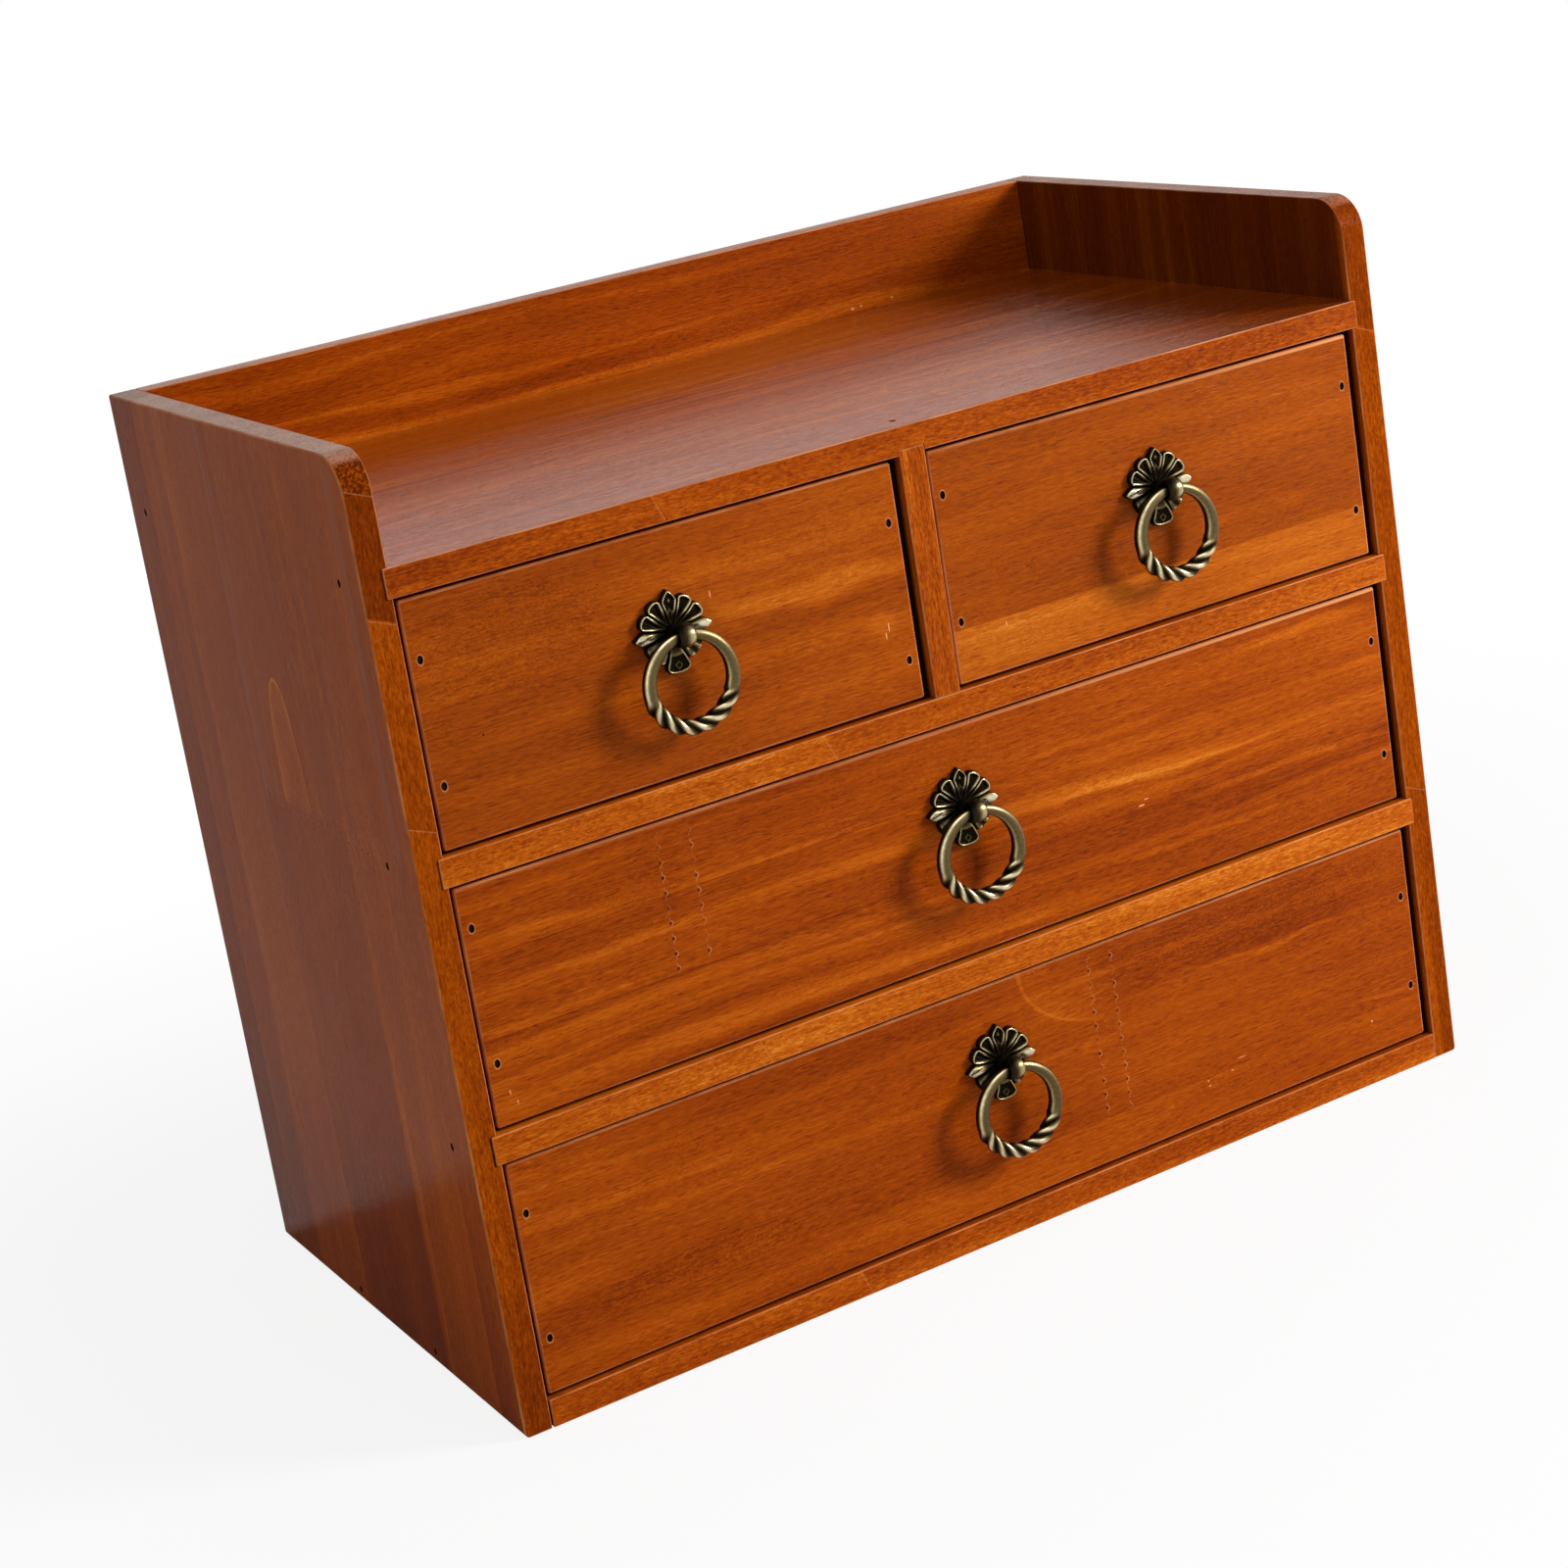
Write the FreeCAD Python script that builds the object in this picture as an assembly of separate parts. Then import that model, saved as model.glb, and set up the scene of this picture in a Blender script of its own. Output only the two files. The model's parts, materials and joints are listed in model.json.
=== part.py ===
import FreeCAD, Part
import math
import os

# Desktop mini drawers: a small wooden chest with a tray on top and four
# drawers, each opened by a hanging ring pull. Millimetres, +Z up, and the
# drawers face -Y. The origin is the middle of the underside of the case.

# Case boards
case_width = 400.0
case_depth = 215.0
board = 10.0
row_height = 85.0
rows = 3
tray_height = 37.0
dado = 2.0
shelf_shoulder = 0.3
shelf_proud = 0.6
top_corner_radius = 13.0
foot_radius = 2.5
case_arris = 0.6

# Drawer boxes
front_board = 10.0
front_recess = 1.5
front_top_gap = 2.0
front_foot_gap = 1.6
front_left_gap = 1.5
front_right_gap = 2.8
front_edge_round = 1.2
slide_gap = 0.3
rear_gap = 0.5
drawer_board = 8.0
side_drop = 8.0
panel_board = 3.0
panel_rise = 5.0
panel_tongue = 3.5
panel_play = 0.3

# Nails: a flat head on a flat shank, driven below the surface
nail_length = 25.0
nail_set = 0.8
head_wide = 2.2
head_thick = 1.3
head_height = 1.0
shank_wide = 1.2
shank_thick = 1.0
nail_point = 2.0
nail_fit = 0.05
divider_nail_setback = 9.7

# Where each nail sits, as shares of the height or depth that it follows
front_nail_shares = {
    "upper_left": {"left": (0.25, 0.76), "right": (0.17, 0.76)},
    "upper_right": {"left": (0.26, 0.81), "right": (0.21, 0.78)},
    "middle": {"left": (0.26, 0.83), "right": (0.22, 0.76)},
    "bottom": {"left": (0.23, 0.78), "right": (0.25, 0.69)},
}
back_nail_shares = (0.3, 0.75)
case_nail_shares = {
    "top_board": (0.08, 0.93),
    "upper_shelf": (0.11,),
    "lower_shelf": (0.07,),
    "bottom_board": (0.33, 0.64),
}

# Ring pulls: heights of the eye above the middle of the drawer front
upper_pull_rise = 7.0
lower_pull_rise = 12.5
pull_standoff = 9.5
ring_radius = 15.25
ring_eye_thickness = 3.0
ring_bow_thickness = 5.0
rope_crest_thickness = 5.7
rope_valley_share = 0.66
rope_turns = 2.0
rope_strands = 3
ring_play = 0.45
eye_wall = 1.9
eye_width = 6.0
eye_mouth = 0.9
eye_shoulder_share = 0.75
eye_crown_share = 0.33
neck_thickness = 4.4
shank_thickness = 3.0
shank_fit = 0.15
nut_across_flats = 5.5
nut_height = 2.4
shank_past_nut = 1.0

# Angles round the ring, clockwise from the eye as the drawer is faced
rope_start_degrees = 117.0
rope_end_degrees = 254.0
bow_place_shares = (0.1, 0.25, 0.43, 0.62, 0.81, 1.0)
rope_sections = 18
points_per_strand = 4

# Rosette behind the eye
hub_height = 1.1
petal_height = 2.6
petal_valley_share = 0.36
petal_flute_share = 0.6
rolled_edge = 0.9
top_leaf_reach = 14.2
fan_petal_reach = 12.9
side_leaf_reach = 14.4
low_petal_reach = 11.8
foot_tab_reach = 14.0

# One allowance for cuts that run through, and one for points that coincide
overrun = 5.0
same_place = 0.001

# Worked out from the sizes above
case_height = board + rows * (row_height + board) + tray_height
front_plane = -case_depth / 2
back_plane = case_depth / 2
panel_face = back_plane - board
outer_x = case_width / 2
inner_x = outer_x - board
top_board_floor = rows * (row_height + board)
front_face = front_plane + front_recess
front_rear = front_face + front_board
drawer_rear = panel_face - rear_gap
eye_y = front_face - pull_standoff
eye_hole_radius = ring_eye_thickness / 2 + ring_play

drawers = {
    "upper_left": {"row": 2, "x0": -inner_x, "x1": -board / 2, "rise": upper_pull_rise},
    "upper_right": {"row": 2, "x0": board / 2, "x1": inner_x, "rise": upper_pull_rise},
    "middle": {"row": 1, "x0": -inner_x, "x1": inner_x, "rise": lower_pull_rise},
    "bottom": {"row": 0, "x0": -inner_x, "x1": inner_x, "rise": lower_pull_rise},
}

nodes = {}


def box(x0, x1, y0, y1, z0, z1):
    corner = FreeCAD.Vector(x0, y0, z0)
    return Part.makeBox(x1 - x0, y1 - y0, z1 - z0, corner)


def cut_all(shape, tools):
    for tool in tools:
        shape = shape.cut(tool)
    return shape


def rounded_outline(corners):
    """A closed wire through (point, radius) corners, each rounded by a tangent arc unless its radius is 0."""
    edges = []
    previous_end = None
    first_start = None
    count = len(corners)
    for index, (point, radius) in enumerate(corners):
        back = (corners[index - 1][0] - point).normalize()
        ahead = (corners[(index + 1) % count][0] - point).normalize()
        half_angle = back.getAngle(ahead) / 2
        start = point + back * (radius / math.tan(half_angle))
        end = point + ahead * (radius / math.tan(half_angle))
        inward = (back + ahead).normalize()
        middle = point + inward * (radius / math.sin(half_angle) - radius)
        if previous_end is not None:
            edges.append(Part.LineSegment(previous_end, start).toShape())
        else:
            first_start = start
        if radius > 0:
            edges.append(Part.Arc(start, middle, end).toShape())
        previous_end = end
    edges.append(Part.LineSegment(previous_end, first_start).toShape())
    return Part.Wire(edges)


def edges_in_plane(shape, axis, value):
    """The edges of a solid whose every vertex has this coordinate."""
    found = []
    for edge in shape.Edges:
        places = [getattr(vertex.Point, axis) for vertex in edge.Vertexes]
        if all(abs(place - value) < same_place for place in places):
            found.append(edge)
    return found


def closed_grid_solid(sections):
    """A solid whose skin joins each closed section of points to the next, and the last to the first."""
    count = len(sections)
    size = len(sections[0])
    points = [point for section in sections for point in section]
    facets = []
    for i in range(count):
        for j in range(size):
            here = i * size + j
            beside = i * size + (j + 1) % size
            ahead = ((i + 1) % count) * size + j
            diagonal = ((i + 1) % count) * size + (j + 1) % size
            facets.append((here, beside, diagonal))
            facets.append((here, diagonal, ahead))
    skin = Part.Shape()
    skin.makeShapeFromMesh((points, facets), same_place)
    solid = Part.makeSolid(Part.makeShell(skin.Faces))
    if solid.Volume < 0:
        solid.reverse()
    return solid


# Nails

def nail():
    """One nail at the origin, pointing along +Y, its head set below the surface."""
    head = box(-head_thick / 2, head_thick / 2, nail_set, nail_set + head_height, -head_wide / 2, head_wide / 2)
    tip = nail_set + nail_length
    shoulder = tip - nail_point
    neck = nail_set + head_height
    outline = [
        FreeCAD.Vector(-shank_thick / 2, neck, -shank_wide / 2),
        FreeCAD.Vector(-shank_thick / 2, shoulder, -shank_wide / 2),
        FreeCAD.Vector(-shank_thick / 2, tip, 0),
        FreeCAD.Vector(-shank_thick / 2, shoulder, shank_wide / 2),
        FreeCAD.Vector(-shank_thick / 2, neck, shank_wide / 2),
    ]
    profile = Part.Face(Part.makePolygon(outline + outline[:1]))
    shank = profile.extrude(FreeCAD.Vector(shank_thick, 0, 0))
    return head.fuse(shank)


def nail_slot():
    """The slot that a nail leaves in the boards, open at the surface."""
    half_head = head_thick / 2 + nail_fit
    half_wide = head_wide / 2 + nail_fit
    half_shank = shank_thick / 2 + nail_fit
    half_shank_wide = shank_wide / 2 + nail_fit
    neck = nail_set + head_height
    pocket = box(-half_head, half_head, -overrun, neck, -half_wide, half_wide)
    bore = box(-half_shank, half_shank, neck, nail_set + nail_length, -half_shank_wide, half_shank_wide)
    return pocket.fuse(bore)


def place(shape, point, direction):
    """A copy of a shape made along +Y, moved to a point and turned along a direction."""
    turned = shape.copy()
    turn = FreeCAD.Rotation(FreeCAD.Vector(0, 1, 0), direction)
    turned.Placement = FreeCAD.Placement(point, turn)
    return turned


def driven(spots, shape):
    return [place(shape, point, direction) for point, direction in spots]


def case_nail_spots():
    """Each side is nailed into the ends of the four boards, and the top board into the divider."""
    levels = {
        "top_board": top_board_floor + board / 2,
        "upper_shelf": top_board_floor - row_height - board / 2,
        "lower_shelf": top_board_floor - 2 * row_height - 3 * board / 2,
        "bottom_board": board / 2,
    }
    spots = []
    for name, shares in case_nail_shares.items():
        for share in shares:
            y = front_plane + share * case_depth
            spots.append((FreeCAD.Vector(-outer_x, y, levels[name]), FreeCAD.Vector(1, 0, 0)))
            spots.append((FreeCAD.Vector(outer_x, y, levels[name]), FreeCAD.Vector(-1, 0, 0)))
    divider_nail = FreeCAD.Vector(0, front_plane + divider_nail_setback, top_board_floor + board)
    spots.append((divider_nail, FreeCAD.Vector(0, 0, -1)))
    return spots


# Case

def footed_space(outer, inner):
    """The space of a side whose lower outer edge is rounded, open at the front, back and top."""
    start = front_plane - overrun
    corners = [
        (FreeCAD.Vector(outer, start, 0), foot_radius),
        (FreeCAD.Vector(outer, start, case_height + overrun), 0),
        (FreeCAD.Vector(inner, start, case_height + overrun), 0),
        (FreeCAD.Vector(inner, start, 0), 0),
    ]
    face = Part.Face(rounded_outline(corners))
    return face.extrude(FreeCAD.Vector(0, case_depth + 2 * overrun, 0))


def side_board(outer, inner, nail_holes):
    """A side with a rounded upper front corner and foot, let out for the ends of the shelves."""
    corners = [
        (FreeCAD.Vector(outer, front_plane, 0), 0),
        (FreeCAD.Vector(outer, front_plane, case_height), top_corner_radius),
        (FreeCAD.Vector(outer, back_plane, case_height), 0),
        (FreeCAD.Vector(outer, back_plane, 0), 0),
    ]
    face = Part.Face(rounded_outline(corners))
    solid = face.extrude(FreeCAD.Vector(inner - outer, 0, 0))
    solid = solid.makeChamfer(case_arris, edges_in_plane(solid, "x", outer))
    solid = solid.common(footed_space(outer, inner))
    toward_outside = dado if outer > inner else -dado
    dado_sides = sorted((inner, inner + toward_outside))
    for row in range(1, rows + 1):
        floor = row * (row_height + board)
        tongue_top = floor + board - shelf_shoulder
        solid = solid.cut(box(*dado_sides, front_plane - overrun, panel_face, floor, tongue_top))
    return cut_all(solid, nail_holes)


def shelf(row, cuts):
    """A board whose ends sit in the dadoes of the sides, with a shallow shoulder above each."""
    floor = row * (row_height + board)
    half = inner_x + dado
    front = front_plane - shelf_proud
    tongues = box(-half, half, front, panel_face, floor, floor + board - shelf_shoulder)
    between_sides = box(-inner_x, inner_x, front, panel_face, floor, floor + board)
    return cut_all(tongues.fuse(between_sides).removeSplitter(), cuts)


def divider_space():
    """The divider's own outline, which the boards above and below are cut to take."""
    floor = top_board_floor - row_height
    return box(-board / 2, board / 2, front_plane - shelf_proud, panel_face, floor - dado, top_board_floor + dado)


def make_case():
    spots = case_nail_spots()
    slots = driven(spots, nail_slot())
    nodes["left_side"] = side_board(-outer_x, -inner_x, slots)
    nodes["right_side"] = side_board(outer_x, inner_x, slots)
    nodes["back_panel"] = box(-inner_x, inner_x, panel_face, back_plane, 0, case_height)
    nodes["bottom_board"] = cut_all(box(-inner_x, inner_x, front_plane, panel_face, 0, board), slots)
    nodes["lower_shelf"] = shelf(1, slots)
    nodes["upper_shelf"] = shelf(2, slots + [divider_space()])
    nodes["top_board"] = shelf(3, slots + [divider_space()])
    nodes["divider"] = cut_all(divider_space(), slots)
    nodes["case_nails"] = Part.makeCompound(driven(spots, nail()))


# Drawers

def drawer_sizes(name):
    """The planes that one drawer's boards are built from."""
    place_in_case = drawers[name]
    floor = place_in_case["row"] * (row_height + board) + board
    sizes = {
        "x0": place_in_case["x0"] + front_left_gap,
        "x1": place_in_case["x1"] - front_right_gap,
        "front_z0": floor + front_foot_gap,
        "front_z1": floor + row_height - front_top_gap,
        "side_z0": floor + slide_gap,
    }
    sizes["side_z1"] = sizes["front_z1"] - side_drop
    sizes["panel_z0"] = sizes["side_z0"] + panel_rise
    sizes["panel_z1"] = sizes["panel_z0"] + panel_board
    sizes["eye_x"] = (sizes["x0"] + sizes["x1"]) / 2
    sizes["eye_z"] = (sizes["front_z0"] + sizes["front_z1"]) / 2 + place_in_case["rise"]
    return sizes


def drawer_nail_spots(name, s):
    """The front is nailed to both sides, and both sides to the ends of the back."""
    spots = []
    height = s["front_z1"] - s["front_z0"]
    middles = {"left": s["x0"] + drawer_board / 2, "right": s["x1"] - drawer_board / 2}
    for end, x in middles.items():
        for share in front_nail_shares[name][end]:
            point = FreeCAD.Vector(x, front_face, s["front_z0"] + share * height)
            spots.append((point, FreeCAD.Vector(0, 1, 0)))
    back_y = drawer_rear - drawer_board / 2
    for share in back_nail_shares:
        z = s["panel_z1"] + share * (s["side_z1"] - s["panel_z1"])
        spots.append((FreeCAD.Vector(s["x0"], back_y, z), FreeCAD.Vector(1, 0, 0)))
        spots.append((FreeCAD.Vector(s["x1"], back_y, z), FreeCAD.Vector(-1, 0, 0)))
    return spots


def panel_space(s):
    """The grooves that the bottom panel sits in, cut from the front and both sides."""
    reach = drawer_board - panel_tongue - panel_play
    front_end = front_rear - panel_tongue - panel_play
    return box(s["x0"] + reach, s["x1"] - reach, front_end, drawer_rear + overrun, s["panel_z0"], s["panel_z1"])


def drawer_front(s):
    solid = box(s["x0"], s["x1"], front_face, front_rear, s["front_z0"], s["front_z1"])
    solid = solid.makeFillet(front_edge_round, edges_in_plane(solid, "y", front_face))
    bolt_hole = Part.makeCylinder(
        shank_thickness / 2 + shank_fit,
        front_board + 2 * overrun,
        FreeCAD.Vector(s["eye_x"], front_face - overrun, s["eye_z"]),
        FreeCAD.Vector(0, 1, 0),
    )
    return solid.cut(bolt_hole)


def make_drawer(name):
    s = drawer_sizes(name)
    spots = drawer_nail_spots(name, s)
    cuts = driven(spots, nail_slot()) + [panel_space(s)]
    left = box(s["x0"], s["x0"] + drawer_board, front_rear, drawer_rear, s["side_z0"], s["side_z1"])
    right = box(s["x1"] - drawer_board, s["x1"], front_rear, drawer_rear, s["side_z0"], s["side_z1"])
    back = box(
        s["x0"] + drawer_board, s["x1"] - drawer_board,
        drawer_rear - drawer_board, drawer_rear,
        s["panel_z1"], s["side_z1"],
    )
    reach = drawer_board - panel_tongue
    panel = box(
        s["x0"] + reach, s["x1"] - reach,
        front_rear - panel_tongue, drawer_rear,
        s["panel_z0"], s["panel_z1"],
    )
    nodes[name + "_drawer_front"] = cut_all(drawer_front(s), cuts)
    nodes[name + "_drawer_left_side"] = cut_all(left, cuts)
    nodes[name + "_drawer_right_side"] = cut_all(right, cuts)
    nodes[name + "_drawer_back"] = cut_all(back, driven(spots, nail_slot()))
    nodes[name + "_drawer_bottom"] = panel
    nodes[name + "_drawer_nails"] = Part.makeCompound(driven(spots, nail()))


# Ring pulls

def ring_section(angle, radii, turn):
    """Points round one section of the ring, at an angle clockwise from the eye."""
    outward = FreeCAD.Vector(math.sin(angle), 0, math.cos(angle))
    backward = FreeCAD.Vector(0, 1, 0)
    centre = outward * ring_radius - FreeCAD.Vector(0, 0, ring_radius)
    section = []
    for index, radius in enumerate(radii):
        phi = turn + 2 * math.pi * index / len(radii)
        section.append(centre + outward * (radius * math.cos(phi)) + backward * (radius * math.sin(phi)))
    return section


def ring():
    """A ring with its top at the origin: a smooth bow that thickens away from the eye,
    closed below by a three-strand rope whose points follow the strands."""
    size = rope_strands * points_per_strand
    rope_start = math.radians(rope_start_degrees)
    rope_end = math.radians(rope_end_degrees)
    bow_start = rope_end - 2 * math.pi
    places = [(-share, bow_start * share) for share in reversed(bow_place_shares)]
    places += [(0, 0)]
    places += [(share, rope_start * share) for share in bow_place_shares]
    sections = []
    for share, angle in places:
        swell = math.sin(math.pi / 2 * abs(share))
        thickness = ring_eye_thickness + (ring_bow_thickness - ring_eye_thickness) * swell
        sections.append(ring_section(angle, [thickness / 2] * size, 0))
    strand = []
    for index in range(points_per_strand):
        crest = 0.5 + 0.5 * math.cos(2 * math.pi * index / points_per_strand)
        share = rope_valley_share + (1 - rope_valley_share) * math.sqrt(crest)
        strand.append(rope_crest_thickness / 2 * share)
    step = (rope_end - rope_start) / (rope_sections + 1)
    for index in range(rope_sections):
        angle = rope_start + step * (index + 1)
        turn = -rope_turns * 2 * math.pi * (index + 1) / (rope_sections + 1)
        sections.append(ring_section(angle, strand * rope_strands, turn))
    return closed_grid_solid(sections)


def eye_bead():
    """The rounded eye: a bead on the X axis, bored for the ring and eased at both mouths."""
    columns = 16
    bore = eye_hole_radius / math.cos(math.pi / columns)
    outside = bore + eye_wall
    half = eye_width / 2
    shoulder = half * eye_shoulder_share
    shoulder_radius = bore + eye_mouth + (eye_wall - eye_mouth) * eye_shoulder_share
    profile = [
        (half - eye_mouth, bore),
        (half, bore + eye_mouth),
        (shoulder, shoulder_radius),
        (half * eye_crown_share, outside),
        (-half * eye_crown_share, outside),
        (-shoulder, shoulder_radius),
        (-half, bore + eye_mouth),
        (eye_mouth - half, bore),
    ]
    sections = []
    for column in range(columns):
        turn = 2 * math.pi * (column + 0.5) / columns
        section = [FreeCAD.Vector(x, r * math.cos(turn), r * math.sin(turn)) for x, r in profile]
        sections.append(section)
    return closed_grid_solid(sections)


def eye_bolt():
    """The eye on its neck, with a shank that runs back through the front to the nut."""
    backward = FreeCAD.Vector(0, 1, 0)
    neck_start = eye_hole_radius + eye_wall / 2
    neck_length = pull_standoff - hub_height - neck_start
    neck = Part.makeCylinder(neck_thickness / 2, neck_length, FreeCAD.Vector(0, neck_start, 0), backward)
    shank_length = hub_height + front_board + nut_height + shank_past_nut
    shank_start = FreeCAD.Vector(0, pull_standoff - hub_height, 0)
    shank = Part.makeCylinder(shank_thickness / 2, shank_length, shank_start, backward)
    return eye_bead().fuse(neck).fuse(shank)


def nut():
    corners = []
    across_corners = nut_across_flats / math.cos(math.pi / 6)
    for index in range(6):
        angle = math.pi / 3 * index
        x = across_corners / 2 * math.cos(angle)
        z = across_corners / 2 * math.sin(angle)
        corners.append(FreeCAD.Vector(x, pull_standoff + front_board, z))
    hexagon = Part.Face(Part.makePolygon(corners + corners[:1]))
    solid = hexagon.extrude(FreeCAD.Vector(0, nut_height, 0))
    start = FreeCAD.Vector(0, pull_standoff + front_board - overrun, 0)
    hole = Part.makeCylinder(
        shank_thickness / 2 + shank_fit, nut_height + 2 * overrun, start, FreeCAD.Vector(0, 1, 0)
    )
    return solid.cut(hole)


def petal_columns():
    """Round the rosette, (angle, reach, height): each petal is a flute between two raised
    edges, or a leaf with a raised midrib, and a valley parts it from the next."""
    petals = [
        (-16, 16, top_leaf_reach, "leaf"),
        (16, 46, fan_petal_reach, "flute"),
        (46, 76, fan_petal_reach, "flute"),
        (76, 104, side_leaf_reach, "leaf"),
        (104, 158, low_petal_reach, "flute"),
        (158, 202, foot_tab_reach, "flute"),
        (202, 256, low_petal_reach, "flute"),
        (256, 284, side_leaf_reach, "leaf"),
        (284, 314, fan_petal_reach, "flute"),
        (314, 344, fan_petal_reach, "flute"),
    ]
    valley_reach_share = 0.8
    shoulder_shares = {"leaf": 0.84, "flute": 0.96}
    shoulder_place_share = 0.2
    columns = []
    for start, end, reach, kind in petals:
        middle_height = petal_height if kind == "leaf" else petal_height * petal_flute_share
        shoulder_height = petal_height * petal_flute_share if kind == "leaf" else petal_height
        shoulder = reach * shoulder_shares[kind]
        span = end - start
        columns.append((start, low_petal_reach * valley_reach_share, petal_height * petal_valley_share))
        columns.append((start + shoulder_place_share * span, shoulder, shoulder_height))
        columns.append((start + span / 2, reach, middle_height))
        columns.append((end - shoulder_place_share * span, shoulder, shoulder_height))
    return columns


def rosette():
    """A cast rosette with its back on the drawer front and the eye's neck on its hub."""
    relief_shares = [(0.36, 0.55), (0.66, 0.9), (0.9, 1.0)]
    columns = petal_columns()
    widest_step = max(after[0] - before[0] for before, after in zip(columns, columns[1:]))
    hole = (shank_thickness / 2 + shank_fit) / math.cos(math.radians(widest_step / 2))
    hub = neck_thickness / 2 + shank_fit
    sections = []
    for degrees, reach, height in columns:
        angle = math.radians(degrees)
        profile = [(hole, 0), (hole, hub_height), (hub, hub_height)]
        for reach_share, height_share in relief_shares:
            profile.append((reach_share * reach, hub_height + height_share * (height - hub_height)))
        profile.append((reach, max(height - rolled_edge, hub_height / 2)))
        profile.append((reach, 0))
        section = []
        for radius, rise in profile:
            x = radius * math.sin(angle)
            z = radius * math.cos(angle)
            section.append(FreeCAD.Vector(x, pull_standoff - rise, z))
        sections.append(section)
    return closed_grid_solid(sections)


def make_pull(name):
    s = drawer_sizes(name)
    eye = FreeCAD.Vector(s["eye_x"], eye_y, s["eye_z"])
    pieces = {"_pull_ring": ring(), "_pull_eye_bolt": eye_bolt(), "_pull_rosette": rosette(), "_pull_nut": nut()}
    for ending, piece in pieces.items():
        piece.translate(eye)
        nodes[name + ending] = piece


make_case()
for drawer_name in drawers:
    make_drawer(drawer_name)
    make_pull(drawer_name)

os.makedirs("parts", exist_ok=True)
for node_name, node_shape in nodes.items():
    node_shape.exportStep(os.path.join("parts", node_name + ".step"))
    print(node_name, node_shape.isValid(), round(node_shape.Volume, 1))
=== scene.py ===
import json
import random
from math import copysign, cos, degrees, exp, pi, radians, sin, sqrt

import bmesh
import bpy
from mathutils import Matrix, Vector

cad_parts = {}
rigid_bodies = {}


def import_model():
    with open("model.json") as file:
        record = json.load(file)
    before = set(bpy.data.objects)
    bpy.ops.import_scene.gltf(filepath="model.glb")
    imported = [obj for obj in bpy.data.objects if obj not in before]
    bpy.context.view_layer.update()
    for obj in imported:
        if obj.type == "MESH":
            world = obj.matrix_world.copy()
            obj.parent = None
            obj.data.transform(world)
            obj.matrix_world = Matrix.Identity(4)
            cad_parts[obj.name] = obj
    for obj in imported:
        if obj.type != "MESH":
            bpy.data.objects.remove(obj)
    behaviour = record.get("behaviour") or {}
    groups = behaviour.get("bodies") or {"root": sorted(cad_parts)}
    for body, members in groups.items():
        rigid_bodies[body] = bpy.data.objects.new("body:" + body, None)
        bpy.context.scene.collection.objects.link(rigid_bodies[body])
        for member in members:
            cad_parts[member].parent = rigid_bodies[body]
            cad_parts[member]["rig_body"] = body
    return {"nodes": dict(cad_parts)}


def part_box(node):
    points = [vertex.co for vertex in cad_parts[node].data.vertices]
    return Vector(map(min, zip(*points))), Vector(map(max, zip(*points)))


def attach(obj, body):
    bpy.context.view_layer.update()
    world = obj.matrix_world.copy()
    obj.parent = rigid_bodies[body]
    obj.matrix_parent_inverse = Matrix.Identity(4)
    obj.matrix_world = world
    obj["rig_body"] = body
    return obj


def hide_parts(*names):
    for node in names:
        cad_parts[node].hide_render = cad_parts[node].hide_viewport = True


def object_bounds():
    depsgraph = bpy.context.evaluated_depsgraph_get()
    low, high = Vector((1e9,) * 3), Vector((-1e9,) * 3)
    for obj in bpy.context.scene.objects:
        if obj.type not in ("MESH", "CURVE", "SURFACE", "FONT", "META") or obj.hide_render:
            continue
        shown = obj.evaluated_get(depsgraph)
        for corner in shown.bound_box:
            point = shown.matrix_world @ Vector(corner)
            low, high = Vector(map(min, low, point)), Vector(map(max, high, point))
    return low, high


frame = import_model()
cad_low, cad_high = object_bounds()

# Lengths are in metres. Those that are easier to read in millimetres carry the factor MM.
MM = 0.001
AXES = {"x": 0, "y": 1, "z": 2}
DRAWERS = ("upper_left", "upper_right", "middle", "bottom")
CASE_FRONT = -107.5 * MM
SIDE_CORNER_RADIUS = 13 * MM
FOOT_RADIUS = 2.5 * MM


def srgb(red, green, blue):
    """A colour on screen (0 to 255) as the linear values that shaders take."""
    linear = []
    for value in (red, green, blue):
        share = value / 255
        linear.append(share / 12.92 if share <= 0.04045 else ((share + 0.055) / 1.055) ** 2.4)
    return (*linear, 1)


# Shader nodes

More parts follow.
